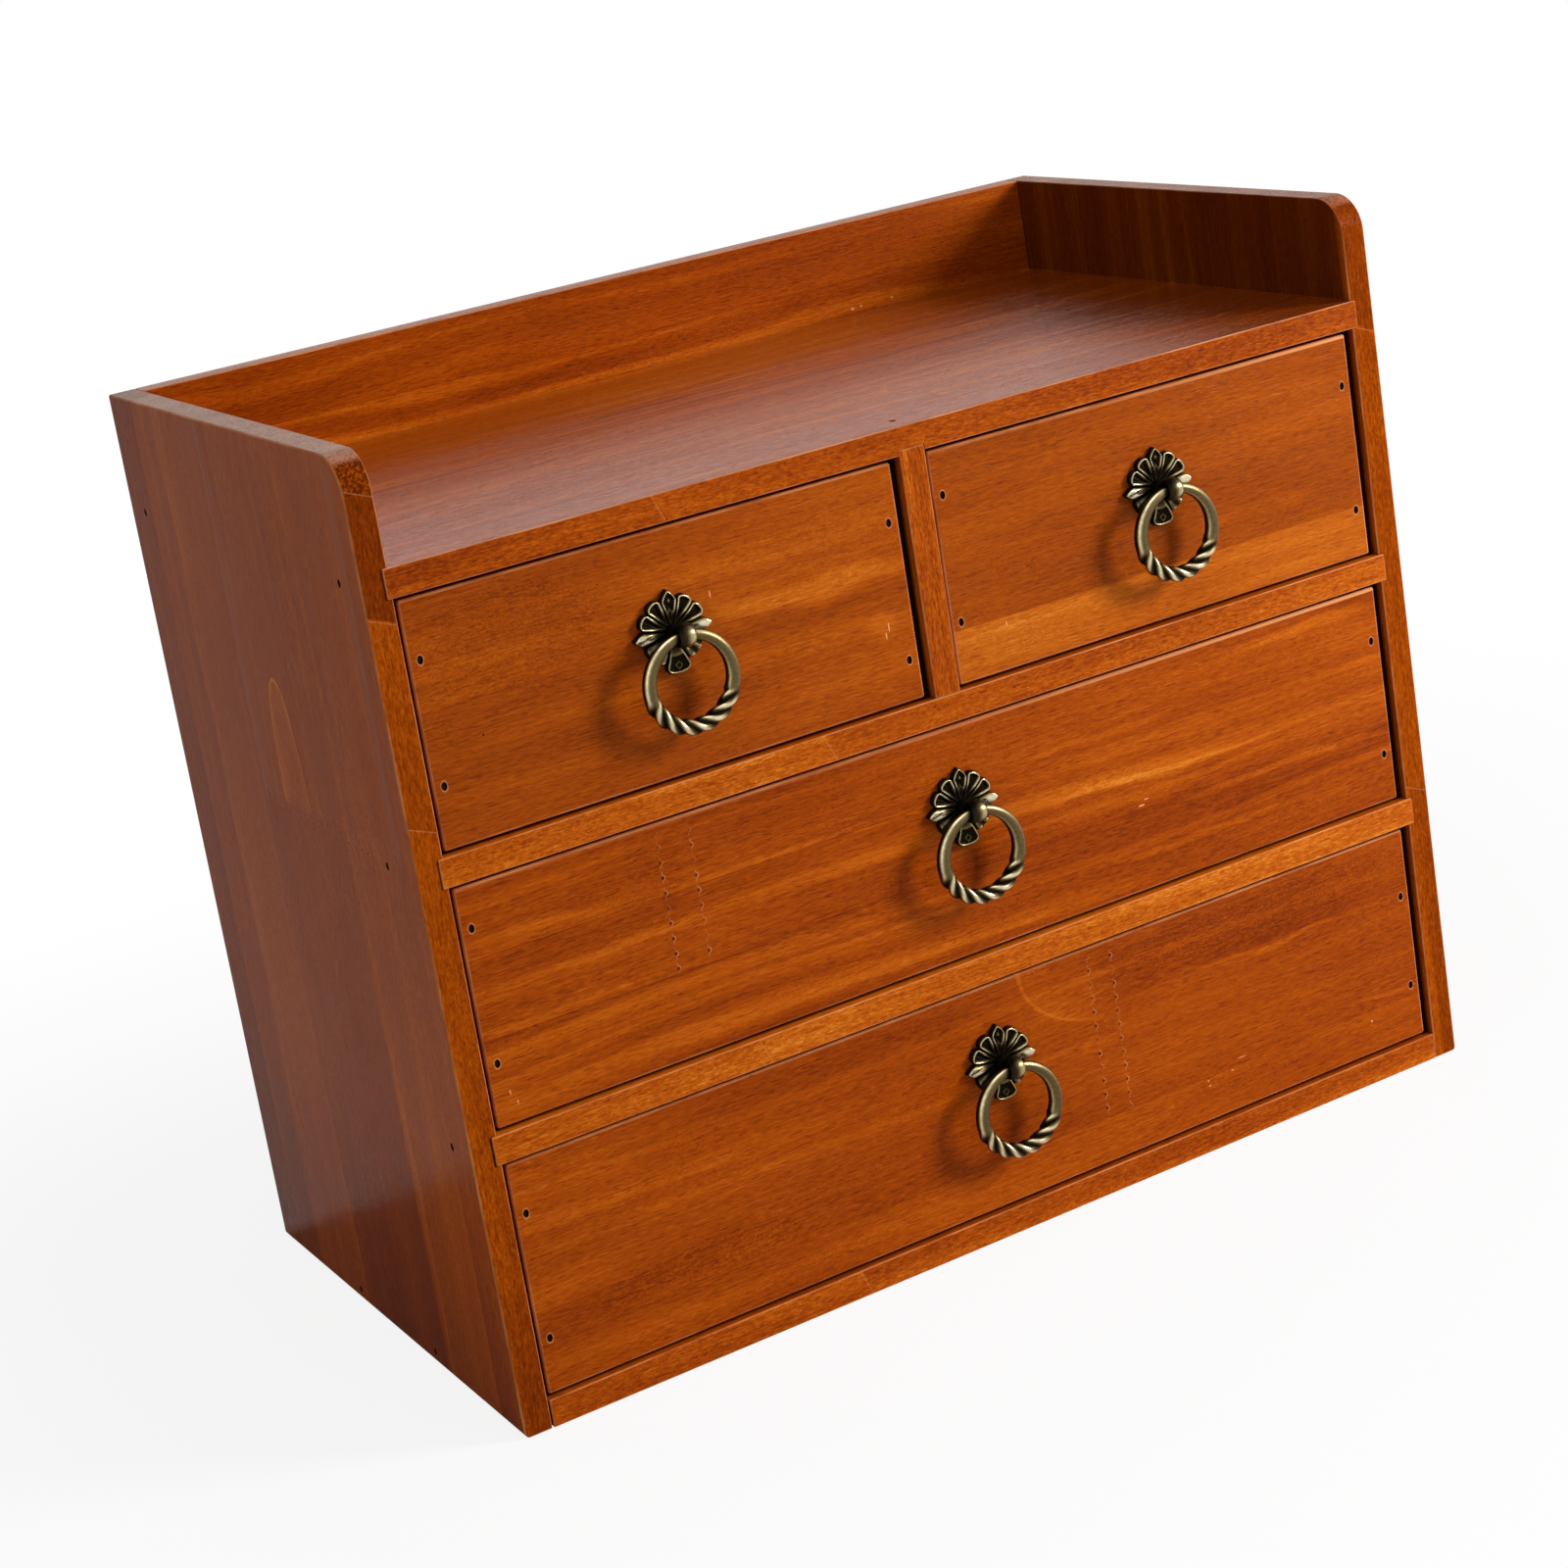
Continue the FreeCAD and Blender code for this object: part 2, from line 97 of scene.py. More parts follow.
class Tree:
    """Adds nodes to one node tree. An input takes a socket, a number or a vector."""

    def __init__(self, tree):
        self.tree = tree
        self.tree.nodes.clear()

    def add(self, kind, inputs=(), **settings):
        node = self.tree.nodes.new("ShaderNode" + kind)
        for name, value in settings.items():
            setattr(node, name, value)
        for key, value in dict(inputs).items():
            self.feed(node.inputs[key], value)
        return node

    def feed(self, socket, value):
        if isinstance(value, bpy.types.NodeSocket):
            self.tree.links.new(value, socket)
        else:
            socket.default_value = value

    def math(self, operation, *values, clamp=False):
        return self.add("Math", dict(enumerate(values)), operation=operation, use_clamp=clamp).outputs[0]

    def chain(self, operation, values):
        total = values[0]
        for value in values[1:]:
            total = self.math(operation, total, value)
        return total

    def plus(self, *values):
        return self.chain("ADD", values)

    def times(self, *values):
        return self.chain("MULTIPLY", values)

    def most(self, *values):
        return self.chain("MAXIMUM", values)

    def minus(self, a, b):
        return self.math("SUBTRACT", a, b)

    def size(self, a):
        return self.math("ABSOLUTE", a)

    def apart(self, a, b):
        return self.size(self.minus(a, b))

    def diagonal(self, a, b):
        return self.math("SQRT", self.plus(self.times(a, a), self.times(b, b)))

    def above(self, a, b):
        return self.math("GREATER_THAN", a, b)

    def span(self, value, low, high, to_low=0, to_high=1, smooth=False):
        """Maps low..high to to_low..to_high, held at both ends."""
        inputs = dict(enumerate((value, low, high, to_low, to_high)))
        curve = "SMOOTHSTEP" if smooth else "LINEAR"
        return self.add("MapRange", inputs, clamp=True, interpolation_type=curve).outputs[0]

    def fall(self, value, low, high):
        """1 up to low, and 0 from high on."""
        return self.span(value, low, high, 1, 0)

    def vector(self, x, y=0, z=0):
        return self.add("CombineXYZ", {0: x, 1: y, 2: z}).outputs[0]

    def split(self, vector):
        return self.add("SeparateXYZ", {0: vector}).outputs

    def noise(self, vector, detail=2, roughness=0.5, distortion=0, scale=1):
        return self.add("TexNoise", dict(
            Vector=vector, Scale=scale, Detail=detail, Roughness=roughness, Distortion=distortion,
        )).outputs[0]

    def stretched(self, place, scales, **settings):
        """Noise at a place whose parts are scaled first."""
        scaled = [self.times(part, scale) for part, scale in zip(place, scales)]
        return self.noise(self.vector(*scaled), **settings)

    def ramp(self, value, stops, interpolation="LINEAR"):
        node = self.add("ValToRGB", {0: value})
        ramp = node.color_ramp
        ramp.interpolation = interpolation
        for element, (position, colour) in zip(ramp.elements, stops):
            element.position = position
            element.color = colour
        for position, colour in stops[2:]:
            ramp.elements.new(position).color = colour
        return node.outputs[0]

    def mix(self, factor, a, b):
        return self.add("Mix", {0: factor, 6: a, 7: b}, data_type="RGBA").outputs[2]

    def attribute(self, name):
        return self.add("Attribute", attribute_name=name).outputs["Fac"]

    def finish(self, colour, rough, bump=None, **numbers):
        """The surface. Numbers are set on the shader's own sockets."""
        shader = self.add("BsdfPrincipled", {"Base Color": colour, "Roughness": rough})
        if bump:
            self.feed(shader.inputs["Normal"], self.add("Bump", bump).outputs[0])
        for name, value in numbers.items():
            shader.inputs[name.replace("_", " ")].default_value = value
        self.output(shader)

    def output(self, shader, kind="OutputMaterial"):
        self.add(kind, {0: shader.outputs[0]})


def new_material(name):
    material = bpy.data.materials.new(name)
    material.use_nodes = True
    return material, Tree(material.node_tree)


def grain_group():
    """Colour value, pores and bump of one stave, from a place in mm (u along the grain)."""
    group = bpy.data.node_groups.new("wood_grain", "ShaderNodeTree")
    for name in ("u", "v", "w", "seed", "figure"):
        group.interface.new_socket(name, in_out="INPUT", socket_type="NodeSocketFloat")
    for name in ("value", "pores", "height"):
        group.interface.new_socket(name, in_out="OUTPUT", socket_type="NodeSocketFloat")
    t = Tree(group)
    given = group.nodes.new("NodeGroupInput").outputs
    u = t.plus(given["u"], t.times(given["seed"], 977))
    v = t.plus(given["v"], t.times(given["seed"], 311))

    def stretched(along, across, v_here=v, **settings):
        return t.stretched((u, v_here, given["w"]), (along, across, across), **settings)

    wander = stretched(0.006, 0.03, detail=1)
    v_bent = t.plus(v, t.times(t.minus(wander, 0.5), 16))
    bands = stretched(0.0026, 0.12, v_bent, detail=2.5, roughness=0.55)
    bands = t.minus(t.span(bands, 0.5, 0.64), t.span(bands, 0.5, 0.36, 0, 0.3))
    lines = t.span(stretched(0.004, 0.55, v_bent, detail=2), 0.3, 0.7, -0.5, 0.5)
    fibre = t.span(stretched(0.05, 1.15, detail=3, roughness=0.6), 0.3, 0.7, -0.5, 0.5)
    cloud = t.span(stretched(0.008, 0.028, detail=1.5), 0.34, 0.66, -0.5, 0.5)
    dashes = stretched(0.24, 1.5, v_bent, detail=1.5, roughness=0.6, distortion=0.6)
    dashes = t.span(dashes, 0.35, 0.65, -0.5, 0.5)
    curly = t.span(stretched(0.75, 1.25, detail=1.5, distortion=0.8), 0.35, 0.65, -0.5, 0.5)
    curly_here = t.span(stretched(0.014, 0.05, detail=1.5), 0.5, 0.62)
    pores = t.span(stretched(0.22, 1.9, detail=1), 0.58, 0.7)
    # Glints: pale dashes painted into the colour as highlights on raised fibres, which the bump also raises
    glints_here = t.span(stretched(0.011, 0.045, detail=1), 0.46, 0.6)
    glints = t.span(stretched(0.26, 2.1, v_bent, detail=0.5, distortion=0.5), 0.6, 0.68)
    glints = t.times(glints, glints_here)
    crossed = t.plus(
        t.times(dashes, t.minus(1, t.times(curly_here, 0.6)), 0.15),
        t.times(curly, curly_here, 0.13),
    )
    value = t.plus(
        0.5,
        t.times(bands, given["figure"], 0.24),
        t.times(lines, given["figure"], 0.06),
        t.times(fibre, 0.14),
        t.times(cloud, 0.12),
        t.times(glints, 0.1),
        crossed,
    )
    height = t.plus(t.times(fibre, 0.35), t.times(crossed, 4), t.times(glints, 0.8), t.times(pores, -0.8))
    out = group.nodes.new("NodeGroupOutput")
    t.feed(out.inputs["value"], value)
    t.feed(out.inputs["pores"], pores)
    t.feed(out.inputs["height"], height)
    return group


GRAIN = grain_group()

# From the darkest late wood to the palest streak
VARNISHED = (
    (0, srgb(88, 26, 2)),
    (0.3, srgb(128, 47, 2)),
    (0.55, srgb(162, 70, 3)),
    (0.78, srgb(190, 95, 13)),
    (1, srgb(216, 130, 40)),
)
# Colours mixed over the wood: a greyish brown as a painted haze for the varnish's reflection, a pale colour
# for wear and pale marks and also a painted highlight, a pale grey as a painted sheen on faces that look up,
# and a near black for dark marks and also painted shade
PAINTED_HAZE = srgb(140, 86, 26)
PALE_WEAR_AND_PAINTED_HIGHLIGHT = srgb(226, 152, 96)
PAINTED_TOP_SHEEN = srgb(206, 172, 148)
DARK_MARK_AND_PAINTED_SHADE = srgb(30, 6, 2)


def stave_ramps(t, v_share, staves):
    """Tone, seed and figure of the stave here, from (start share, tone, seed, figure) rows."""
    stops = [(start, (tone + 0.5, seed, figure / 2, 1)) for start, tone, seed, figure in staves]
    if len(stops) == 1:
        stops.append((1, stops[0][1]))
    channels = t.add("SeparateColor", {0: t.ramp(v_share, stops, "CONSTANT")}).outputs
    return t.minus(channels[0], 0.5), channels[1], t.times(channels[2], 2)


def finger_joint(t, u, v, v_share, joint):
    """Whether a place lies past a joint of cut fingers, with its dark tips and pale ticks."""
    joint_u, reach, share_low, share_high, strength = joint
    half_pitch = 2.65
    left, right = joint_u - reach / 2, joint_u + reach / 2
    phase = t.math("PINGPONG", v, half_pitch)
    edge = t.span(phase, 0, half_pitch, left, right)
    inside = t.times(
        t.span(v_share, share_low, share_low + 0.03), t.span(v_share, share_high, share_high - 0.03))
    past = t.times(t.above(u, edge), inside)
    uneven = t.stretched((u, v), (0.05, 0.16), detail=0)
    uneven = t.span(uneven, 0.35, 0.6, 0.25, 1)
    dark, pale = 0, 0
    for column, nearest, share in ((left, phase, 1), (right, t.minus(half_pitch, phase), 0.7)):
        away = t.apart(u, column)
        radius = t.diagonal(away, nearest)
        dark = t.most(dark, t.times(t.fall(radius, 0.42, 0.72), share))
        tick = t.times(t.fall(away, 0.12, 0.36), t.span(nearest, 0.8, 1.1), t.fall(nearest, 1.9, 2.2))
        beside = t.span(t.minus(u, column), 0, 0.4)
        halo = t.times(t.span(radius, 0.66, 0.8), t.span(radius, 0.95, 1.2, 0.55, 0), beside)
        pale = t.most(pale, t.times(tick, 0.26), halo)
    dark = t.most(dark, t.span(t.apart(u, edge), 0.2, 0.8, 0.14, 0))
    uneven = t.times(uneven, inside, strength)
    return past, t.times(dark, uneven), t.times(pale, uneven)


def spots(t, u, v, places):
    """How near the nearest of some ovals lies: 0 in the middle of one and 1 at its edge."""
    nearest = 9
    for spot_u, spot_v, half_u, half_v in places:
        across_u = t.math("DIVIDE", t.minus(u, spot_u), half_u)
        across_v = t.math("DIVIDE", t.minus(v, spot_v), half_v)
        nearest = t.math("MINIMUM", nearest, t.diagonal(across_u, across_v))
    return nearest


def arch(t, u, v, figure):
    """Pale line and inner tone of one arch of the figure, closed toward the sign of half_u."""
    middle_u, middle_v, half_u, half_v, power, faded = figure
    along = t.math("DIVIDE", t.minus(u, middle_u), half_u)
    beside = t.math("DIVIDE", t.apart(v, middle_v), half_v)
    reach = t.plus(t.math("POWER", t.most(along, 0), power), t.math("POWER", beside, power))
    fade = t.span(along, 0, faded)
    line = t.times(t.fall(t.apart(reach, 1), 0.015, 0.06), fade)
    inner = t.times(t.span(reach, 0.3, 1, 0.3, 1), t.fall(reach, 0.98, 1.02))
    return line, t.times(inner, fade)


def edge_staves(t, slanted, start, end, rows, on_edge, tone, seed, pale):
    """Staves and butt joints along the narrow edges of a board."""
    edge_tone, edge_seed, _ = stave_ramps(t, t.span(slanted, start, end), rows)
    tone = t.plus(tone, t.times(t.plus(edge_tone, 0.05), on_edge))
    seed = t.plus(seed, t.times(edge_seed, on_edge))
    for share, *_ in rows[1:]:
        butt = t.apart(slanted, start + share * (end - start))
        pale = t.most(pale, t.times(t.span(butt, 0.1, 0.35, 0.22, 0), on_edge))
    return tone, seed, pale


def grown_marks(t, value, u, v, streaks, curls, arches, arch_strength):
    """Streaks, curly patches and arches of the figure, added to the colour value."""
    warp = t.stretched((u, v), (0.03, 0.05), detail=1)
    v_wavy = t.plus(v, t.times(t.minus(warp, 0.5), 9))
    for *oval, amount in streaks:
        near = spots(t, u, v_wavy, [oval])
        value = t.plus(value, t.span(near, 0.3, 1, amount, 0, smooth=True))
    if curls:
        curl = t.stretched((u, v), (0.9, 1.4), detail=1.5, distortion=0.8)
        curl_here = t.fall(spots(t, u, v_wavy, curls), 0.75, 1.1)
        value = t.plus(value, t.times(t.span(curl, 0.36, 0.64, -0.12, 0.05), curl_here))
    for figure in arches:
        line, inner = arch(t, u, v, figure)
        value = t.plus(value, t.times(inner, arch_strength / 2), t.times(line, arch_strength))
    return value


def back_joint(t, y, u, seam, dark, pale):
    """The dark joint under the back panel, with a broken line of pale dust before it."""
    dark = t.most(dark, t.span(y, (seam - 0.7) * MM, (seam - 0.3) * MM, 0, 0.9))
    broken = t.span(t.stretched((u,), (0.12,)), 0.5, 0.6, 0, 0.5)
    dust = t.fall(t.apart(y, (seam - 1.3) * MM), 0.2 * MM, 0.5 * MM)
    return dark, t.most(pale, t.times(dust, broken))


def wood(name, low, high, grain, across, staves, lean=0, joint=None, staves_past=None, arches=(),
         arch_strength=0.16, holes=(), hole_rim=0.6, pale_specks=(), dark_specks=(), streaks=(), curls=(),
         shade=None, painted_haze=0, edge_rows=None, edge_end=None, painted_top_sheen=0, inner_faces=(),
         painted_shade_depth=(1.6, 4), painted_arris_highlight=0, back_seam=0, roughness=0.34, gloss=0.04, stain=0):
    """Varnished wood laid up from staves, with the grain along one axis and the staves side by side
    along another. Places are in mm, (along the grain, across it)."""
    material, t = new_material(name)
    coordinates = t.add("TexCoord").outputs
    place, normal = t.split(coordinates["Object"]), t.split(coordinates["Normal"])
    along, beside = AXES[grain], AXES[across]
    third = 3 - along - beside
    u, v, w = [t.times(place[axis], 1000) for axis in (along, beside, third)]
    first = low[beside] * 1000
    extent = high[beside] * 1000 - first
    v_level = t.plus(v, t.times(u, lean))
    v_share = t.math("DIVIDE", t.minus(v_level, first), extent)

    # Staves, the finger joint between them and the edges
    tone, seed, figure = stave_ramps(t, v_share, staves)
    dark, pale = 0, 0
    if joint:
        past, dark, pale = finger_joint(t, u, v, v_share, joint)
        tone, seed, figure = [
            t.add("Mix", {0: past, 2: here, 3: there}, data_type="FLOAT").outputs[0]
            for here, there in zip((tone, seed, figure), stave_ramps(t, v_share, staves_past))
        ]
    on_edge = t.span(t.size(normal[beside]), 0.6, 0.7)
    if edge_rows:
        slanted = t.plus(u, t.times(t.minus(w, low[third] * 1000), 0.4))
        tone, seed, pale = edge_staves(
            t, slanted, low[along] * 1000, high[along] * 1000, edge_rows, on_edge, tone, seed, pale)
    given = dict(u=u, v=v, w=w, seed=seed, figure=figure)
    value, pores, height = t.add("Group", given, node_tree=GRAIN).outputs
    seam = 0
    for start, *_ in staves[1:]:
        seam = t.most(seam, t.fall(t.apart(v_level, first + start * extent), 0.08, 0.3))

    # What moves the colour value
    end_grain = t.span(t.size(normal[along]), 0.55, 0.9)
    speck = t.stretched((u, v, w), (0.3, 1.1, 1.1), roughness=0.7)
    stipple = t.stretched((u, v, w), (0.5, 1.4, 1.4), detail=3, distortion=0.6)
    stipple = t.span(stipple, 0.38, 0.62, -0.5, 0.5)
    value = t.plus(value, tone, t.times(pores, -0.16), t.times(stipple, on_edge, 0.2), stain)
    value = t.plus(value, t.times(seam, -0.1), t.times(end_grain, t.span(speck, 0.4, 0.6, -0.08, -0.3)))
    # Painted light and shade: a smooth ramp of the colour value along one axis
    if shade:
        axis, start, end, *amounts = shade
        value = t.plus(value, t.span(place[AXES[axis]], start * MM, end * MM, *amounts, smooth=True))
    if edge_end:
        coarse = t.stretched((u, v, w), (0.9, 0.9, 0.9), distortion=0.5)
        at_end = t.times(t.above(u, edge_end), on_edge)
        value = t.plus(value, t.times(t.span(coarse, 0.4, 0.6, -0.4, 0.15), at_end))
    value = grown_marks(t, value, u, v, streaks, curls, arches, arch_strength)

    # Dark and pale spots and lines
    if dark_specks:
        dark = t.most(dark, t.fall(spots(t, u, v, dark_specks), 0.6, 1))
    if pale_specks:
        pale = t.most(pale, t.span(spots(t, u, v, pale_specks), 0.5, 1, 1.3, 0))
    # Nail holes: a pale rim, and a dark mouth painted in as the shade inside the hole
    if holes:
        around = spots(t, u, v, holes)
        pale = t.most(pale, t.times(t.span(around, 1.05, 1.45, hole_rim, 0), t.above(around, 0.97)))
        dark = t.most(dark, t.fall(around, 0.97, 1))
    # Painted highlight: a pale line along the top arris, stronger toward the right
    if painted_arris_highlight:
        rolled = t.span(place["Z"], high.z - 1 * MM, high.z - 0.7 * MM)
        rolled = t.times(rolled, t.span(normal["Y"], -0.2, -0.4))
        along_arris = t.span(place["X"], low.x + (high.x - low.x) * 0.3, high.x, 0.15, 1)
        pale = t.most(pale, t.times(rolled, along_arris, painted_arris_highlight))
    if back_seam:
        dark, pale = back_joint(t, place["Y"], u, back_seam, dark, pale)

    # Colour
    colour = t.ramp(value, VARNISHED)
    # Painted haze: a greyish brown mixed in for the room's reflection in the varnish
    if painted_haze:
        colour = t.mix(painted_haze, colour, PAINTED_HAZE)
    patchy = t.stretched((u, v, w), (0.05, 0.05, 0.05), detail=3)
    worn = t.times(t.attribute("wear"), t.span(patchy, 0.35, 0.65, 0.2, 0.65))
    colour = t.mix(t.math("MAXIMUM", worn, pale, clamp=True), colour, PALE_WEAR_AND_PAINTED_HIGHLIGHT)
    # Painted sheen: a pale greyish colour on faces that look up, streaked by the grain
    if painted_top_sheen:
        upward = t.times(t.span(normal["Z"], 0.72, 0.95), t.above(place["Z"], 0.3))
        streaky = t.plus(0.75, t.times(t.minus(value, 0.5), 1.2))
        colour = t.mix(t.times(upward, streaky, painted_top_sheen), colour, PAINTED_TOP_SHEEN)
    # Dark marks, and painted shade on inner faces from a few millimetres behind the case's front inwards, in
    # place of the shade in the gaps and inside the case
    inside = t.times(dark, 0.9)
    for axis, sign, lowest, highest, strength in inner_faces:
        facing = t.span(t.times(normal[AXES[axis]], sign), 0.5, 0.8)
        depth = t.span(place["Y"], *[CASE_FRONT + step * MM for step in painted_shade_depth])
        level = t.times(t.above(place["Z"], lowest), t.above(highest, place["Z"]))
        inside = t.most(inside, t.times(facing, depth, level, strength))
    colour = t.mix(inside, colour, DARK_MARK_AND_PAINTED_SHADE)
    rough = t.plus(roughness, t.times(t.minus(value, 0.5), 0.06), t.times(dark, 0.6))
    bump = {"Strength": 0.5, "Distance": 0.00012, "Height": t.plus(height, t.times(dark, -3))}
    t.finish(colour, rough, bump, Specular_IOR_Level=gloss)
    return material


def metal_places(t):
    place = t.add("TexCoord").outputs["Object"]
    return t.add("VectorMath", {0: place, "Scale": 1000}, operation="SCALE").outputs[0]


def brass(name):
    """Cast antique brass: pale where hands rub it, black-brown in its recesses. On the ring and the eye bead
    the same number also carries painted highlights and painted shade.
    """
    material, t = new_material(name)
    scaled = metal_places(t)
    mottle = t.noise(scaled, detail=4, roughness=0.65)
    fine = t.noise(scaled, detail=3, scale=3.5)
    dark = t.plus(t.attribute("patina_and_light"), t.times(t.minus(mottle, 0.5), 0.24))
    colour = t.ramp(dark, (
        (0, srgb(226, 214, 180)),
        (0.16, srgb(166, 150, 108)),
        (0.36, srgb(104, 90, 57)),
        (0.6, srgb(50, 41, 25)),
        (1, srgb(9, 7, 4)),
    ))
    bump = {"Strength": 0.25, "Distance": 0.0001, "Height": t.plus(mottle, t.times(fine, 0.5))}
    t.finish(colour, t.span(dark, 0, 0.9, 0.2, 0.55), bump, Metallic=1)
    return material


def dark_steel(name):
    material, t = new_material(name)
    mottle = t.noise(metal_places(t), detail=3, roughness=0.6)
    colour = t.ramp(mottle, ((0.3, srgb(12, 7, 4)), (0.7, srgb(34, 19, 12))))
    t.finish(colour, t.span(mottle, 0.3, 0.7, 0.45, 0.7), Metallic=0.1, Specular_IOR_Level=0.1)
    return material


# Meshes and boards

def link(name, data):
    item = bpy.data.objects.new(name, data)
    bpy.context.scene.collection.objects.link(item)
    return item


def new_mesh(name, vertices, faces, attribute, domain, values):
    """A mesh that carries one number on its points or corners."""
    mesh = bpy.data.meshes.new(name)
    mesh.from_pydata(vertices, [], faces)
    mesh.attributes.new(attribute, "FLOAT", domain).data.foreach_set("value", values)
    work = bmesh.new()
    work.from_mesh(mesh)
    bmesh.ops.recalc_face_normals(work, faces=work.faces)
    work.to_mesh(mesh)
    work.free()
    return mesh


def worn_piece(name, vertices, faces, wear):
    """An object with worn edges. Faces with more than four corners are flat and not worn."""
    corners = [wear[corner] if len(face) == 4 else 0 for face in faces for corner in face]
    return link(name, new_mesh(name, vertices, faces, "wear", "CORNER", corners))


def band_faces(loops, size, base=0, closed=False):
    """Faces between loops of points. A closed band also joins the last loop to the first."""
    faces = []
    for loop in range(loops if closed else loops - 1):
        here, ahead = base + loop * size, base + (loop + 1) % loops * size
        for n in range(size):
            beside = (n + 1) % size
            faces.append((here + n, here + beside, ahead + beside, ahead + n))
    return faces


def tube_faces(loops, size, base=0):
    """Faces of a band with a cap at each end."""
    last = base + (loops - 1) * size
    caps = [tuple(range(base, base + size)), tuple(reversed(range(last, last + size)))]
    return band_faces(loops, size, base) + caps


def rounded_rectangle(a0, a1, b0, b1, radii):
    """Points of a rounded rectangle, each (a, b, outward a, outward b, is on a small corner).
    The radii are for (a0, b0), (a1, b0), (a1, b1), (a0, b1)."""
    points = []
    corners = ((a0, b0, 1, 1, 180), (a1, b0, -1, 1, 270), (a1, b1, -1, -1, 0), (a0, b1, 1, -1, 90))
    for (a, b, toward_a, toward_b, first_angle), radius in zip(corners, radii):
        small = radius < 4 * MM
        steps = 4 if small else 20
        for step in range(steps + 1):
            angle = radians(first_angle + 90 * step / steps)
            out_a, out_b = cos(angle), sin(angle)
            place = (a + toward_a * radius + radius * out_a, b + toward_b * radius + radius * out_b)
            points.append((*place, out_a, out_b, small and 0 < step < steps))
    return points


def slab(name, low, high, thick, radii, rim_low, rim_high):
    """A board between two corners, thick along one axis, with rounded corners and rims."""
    k = AXES[thick]
    i, j = [axis for axis in range(3) if axis != k]
    outline = rounded_rectangle(low[i], high[i], low[j], high[j], radii)
    steps = 4
    loops = []
    rims = ((low[k], rim_low, range(steps + 1)), (high[k], -rim_high, range(steps, -1, -1)))
    for level, rim, order in rims:
        for step in order:
            angle = pi / 2 * step / steps
            inset, rise = abs(rim) * (1 - sin(angle)), rim * (1 - cos(angle))
            loops.append((inset, level + rise, 0 < step < steps))
    vertices, wear = [], []
    for inset, level, on_rim in loops:
        for a, b, out_a, out_b, on_corner in outline:
            point = [0, 0, 0]
            point[i], point[j], point[k] = a - out_a * inset, b - out_b * inset, level
            vertices.append(point)
            wear.append(float(on_rim or on_corner))
    return worn_piece(name, vertices, tube_faces(len(loops), len(outline)), wear)


def even_slab(name, low, high, thick, rim):
    return slab(name, low, high, thick, [rim] * 4, rim, rim)


def loose_parts(mesh):
    """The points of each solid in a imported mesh. Its triangles may not share their corners."""
    parent = list(range(len(mesh.vertices)))

    def root(index):
        while parent[index] != index:
            parent[index] = parent[parent[index]]
            index = parent[index]
        return index

    first_at = {}
    for vertex in mesh.vertices:
        key = tuple(round(value * 1e6) for value in vertex.co)
        parent[root(vertex.index)] = root(first_at.setdefault(key, vertex.index))
    for edge in mesh.edges:
        parent[root(edge.vertices[0])] = root(edge.vertices[1])
    groups = {}
    for vertex in mesh.vertices:
        groups.setdefault(root(vertex.index), []).append(vertex.co)
    return groups.values()


def nail_spots(node):
    """The middle of each nail's head, the nail's direction, and the head's longer axis."""
    found = []
    for points in loose_parts(frame["nodes"][node].data):
        low, high = [
            Vector([pick(point[axis] for point in points) for axis in range(3)]) for pick in (min, max)
        ]
        long_axis, wide_axis, _ = sorted(range(3), key=lambda axis: low[axis] - high[axis])
        at_low, at_high = [
            sum(abs(point[long_axis] - end[long_axis]) < 0.1 * MM for point in points)
            for end in (low, high)
        ]
        head_first = at_low > at_high
        middle = (low + high) / 2
        middle[long_axis] = low[long_axis] if head_first else high[long_axis]
        direction = Vector()
        direction[long_axis] = 1 if head_first else -1
        found.append((middle, direction, wide_axis))
    return found


def holes_in(found, grain, across, facing, half_grain, half_across):
    """The mouths of the nail holes that lie on a face, as ovals in mm."""
    return [
        (middle[AXES[grain]] / MM, middle[AXES[across]] / MM, half_grain, half_across)
        for middle, direction, _ in found if direction.dot(Vector(facing)) > 0.5
    ]


def pocket_cutter(name, found):
    """One mesh of oval pockets, a little wider at the mouth, that open 0.8 mm above each nail's head."""
    set_depth, half_wide, half_thick, sides = 0.8 * MM, 1.35 * MM, 0.95 * MM, 20
    # (depth, share of the pocket's width)
    profile = ((-0.6 * MM, 1.5), (0, 1.16), (0.3 * MM, 1), (1.9 * MM, 0.92))
    worn_depth = 0.2 * MM
    vertices, faces, wear = [], [], []
    for middle, direction, wide_axis in found:
        wide = Vector([1 if axis == wide_axis else 0 for axis in range(3)])
        thick = direction.cross(wide)
        mouth = middle - direction * set_depth
        faces += tube_faces(len(profile), sides, len(vertices))
        for depth, share in profile:
            for side in range(sides):
                angle = 2 * pi * side / sides
                offset = wide * (half_wide * cos(angle)) + thick * (half_thick * sin(angle))
                vertices.append(mouth + direction * depth + offset * share)
                wear.append(float(depth < worn_depth))
    return worn_piece(name, vertices, faces, wear)


def foot_cutter(name, outer_x, outward):
    """A bar along Y that rounds the lower outer edge of a side. Outward is the sign of its outer X."""
    reach, steps = 5 * MM, 8
    profile = [(outward * reach, -reach), (outward * reach, FOOT_RADIUS)]
    for step in range(steps + 1):
        angle = pi / 2 * step / steps
        inset = FOOT_RADIUS * (1 - cos(angle))
        profile.append((-outward * inset, FOOT_RADIUS * (1 - sin(angle))))
    profile.append((-outward * FOOT_RADIUS, -reach))
    vertices = [(outer_x + x, y, z) for y in (-0.2, 0.2) for x, z in profile]
    return worn_piece(name, vertices, tube_faces(2, len(profile)), [0] * len(vertices))


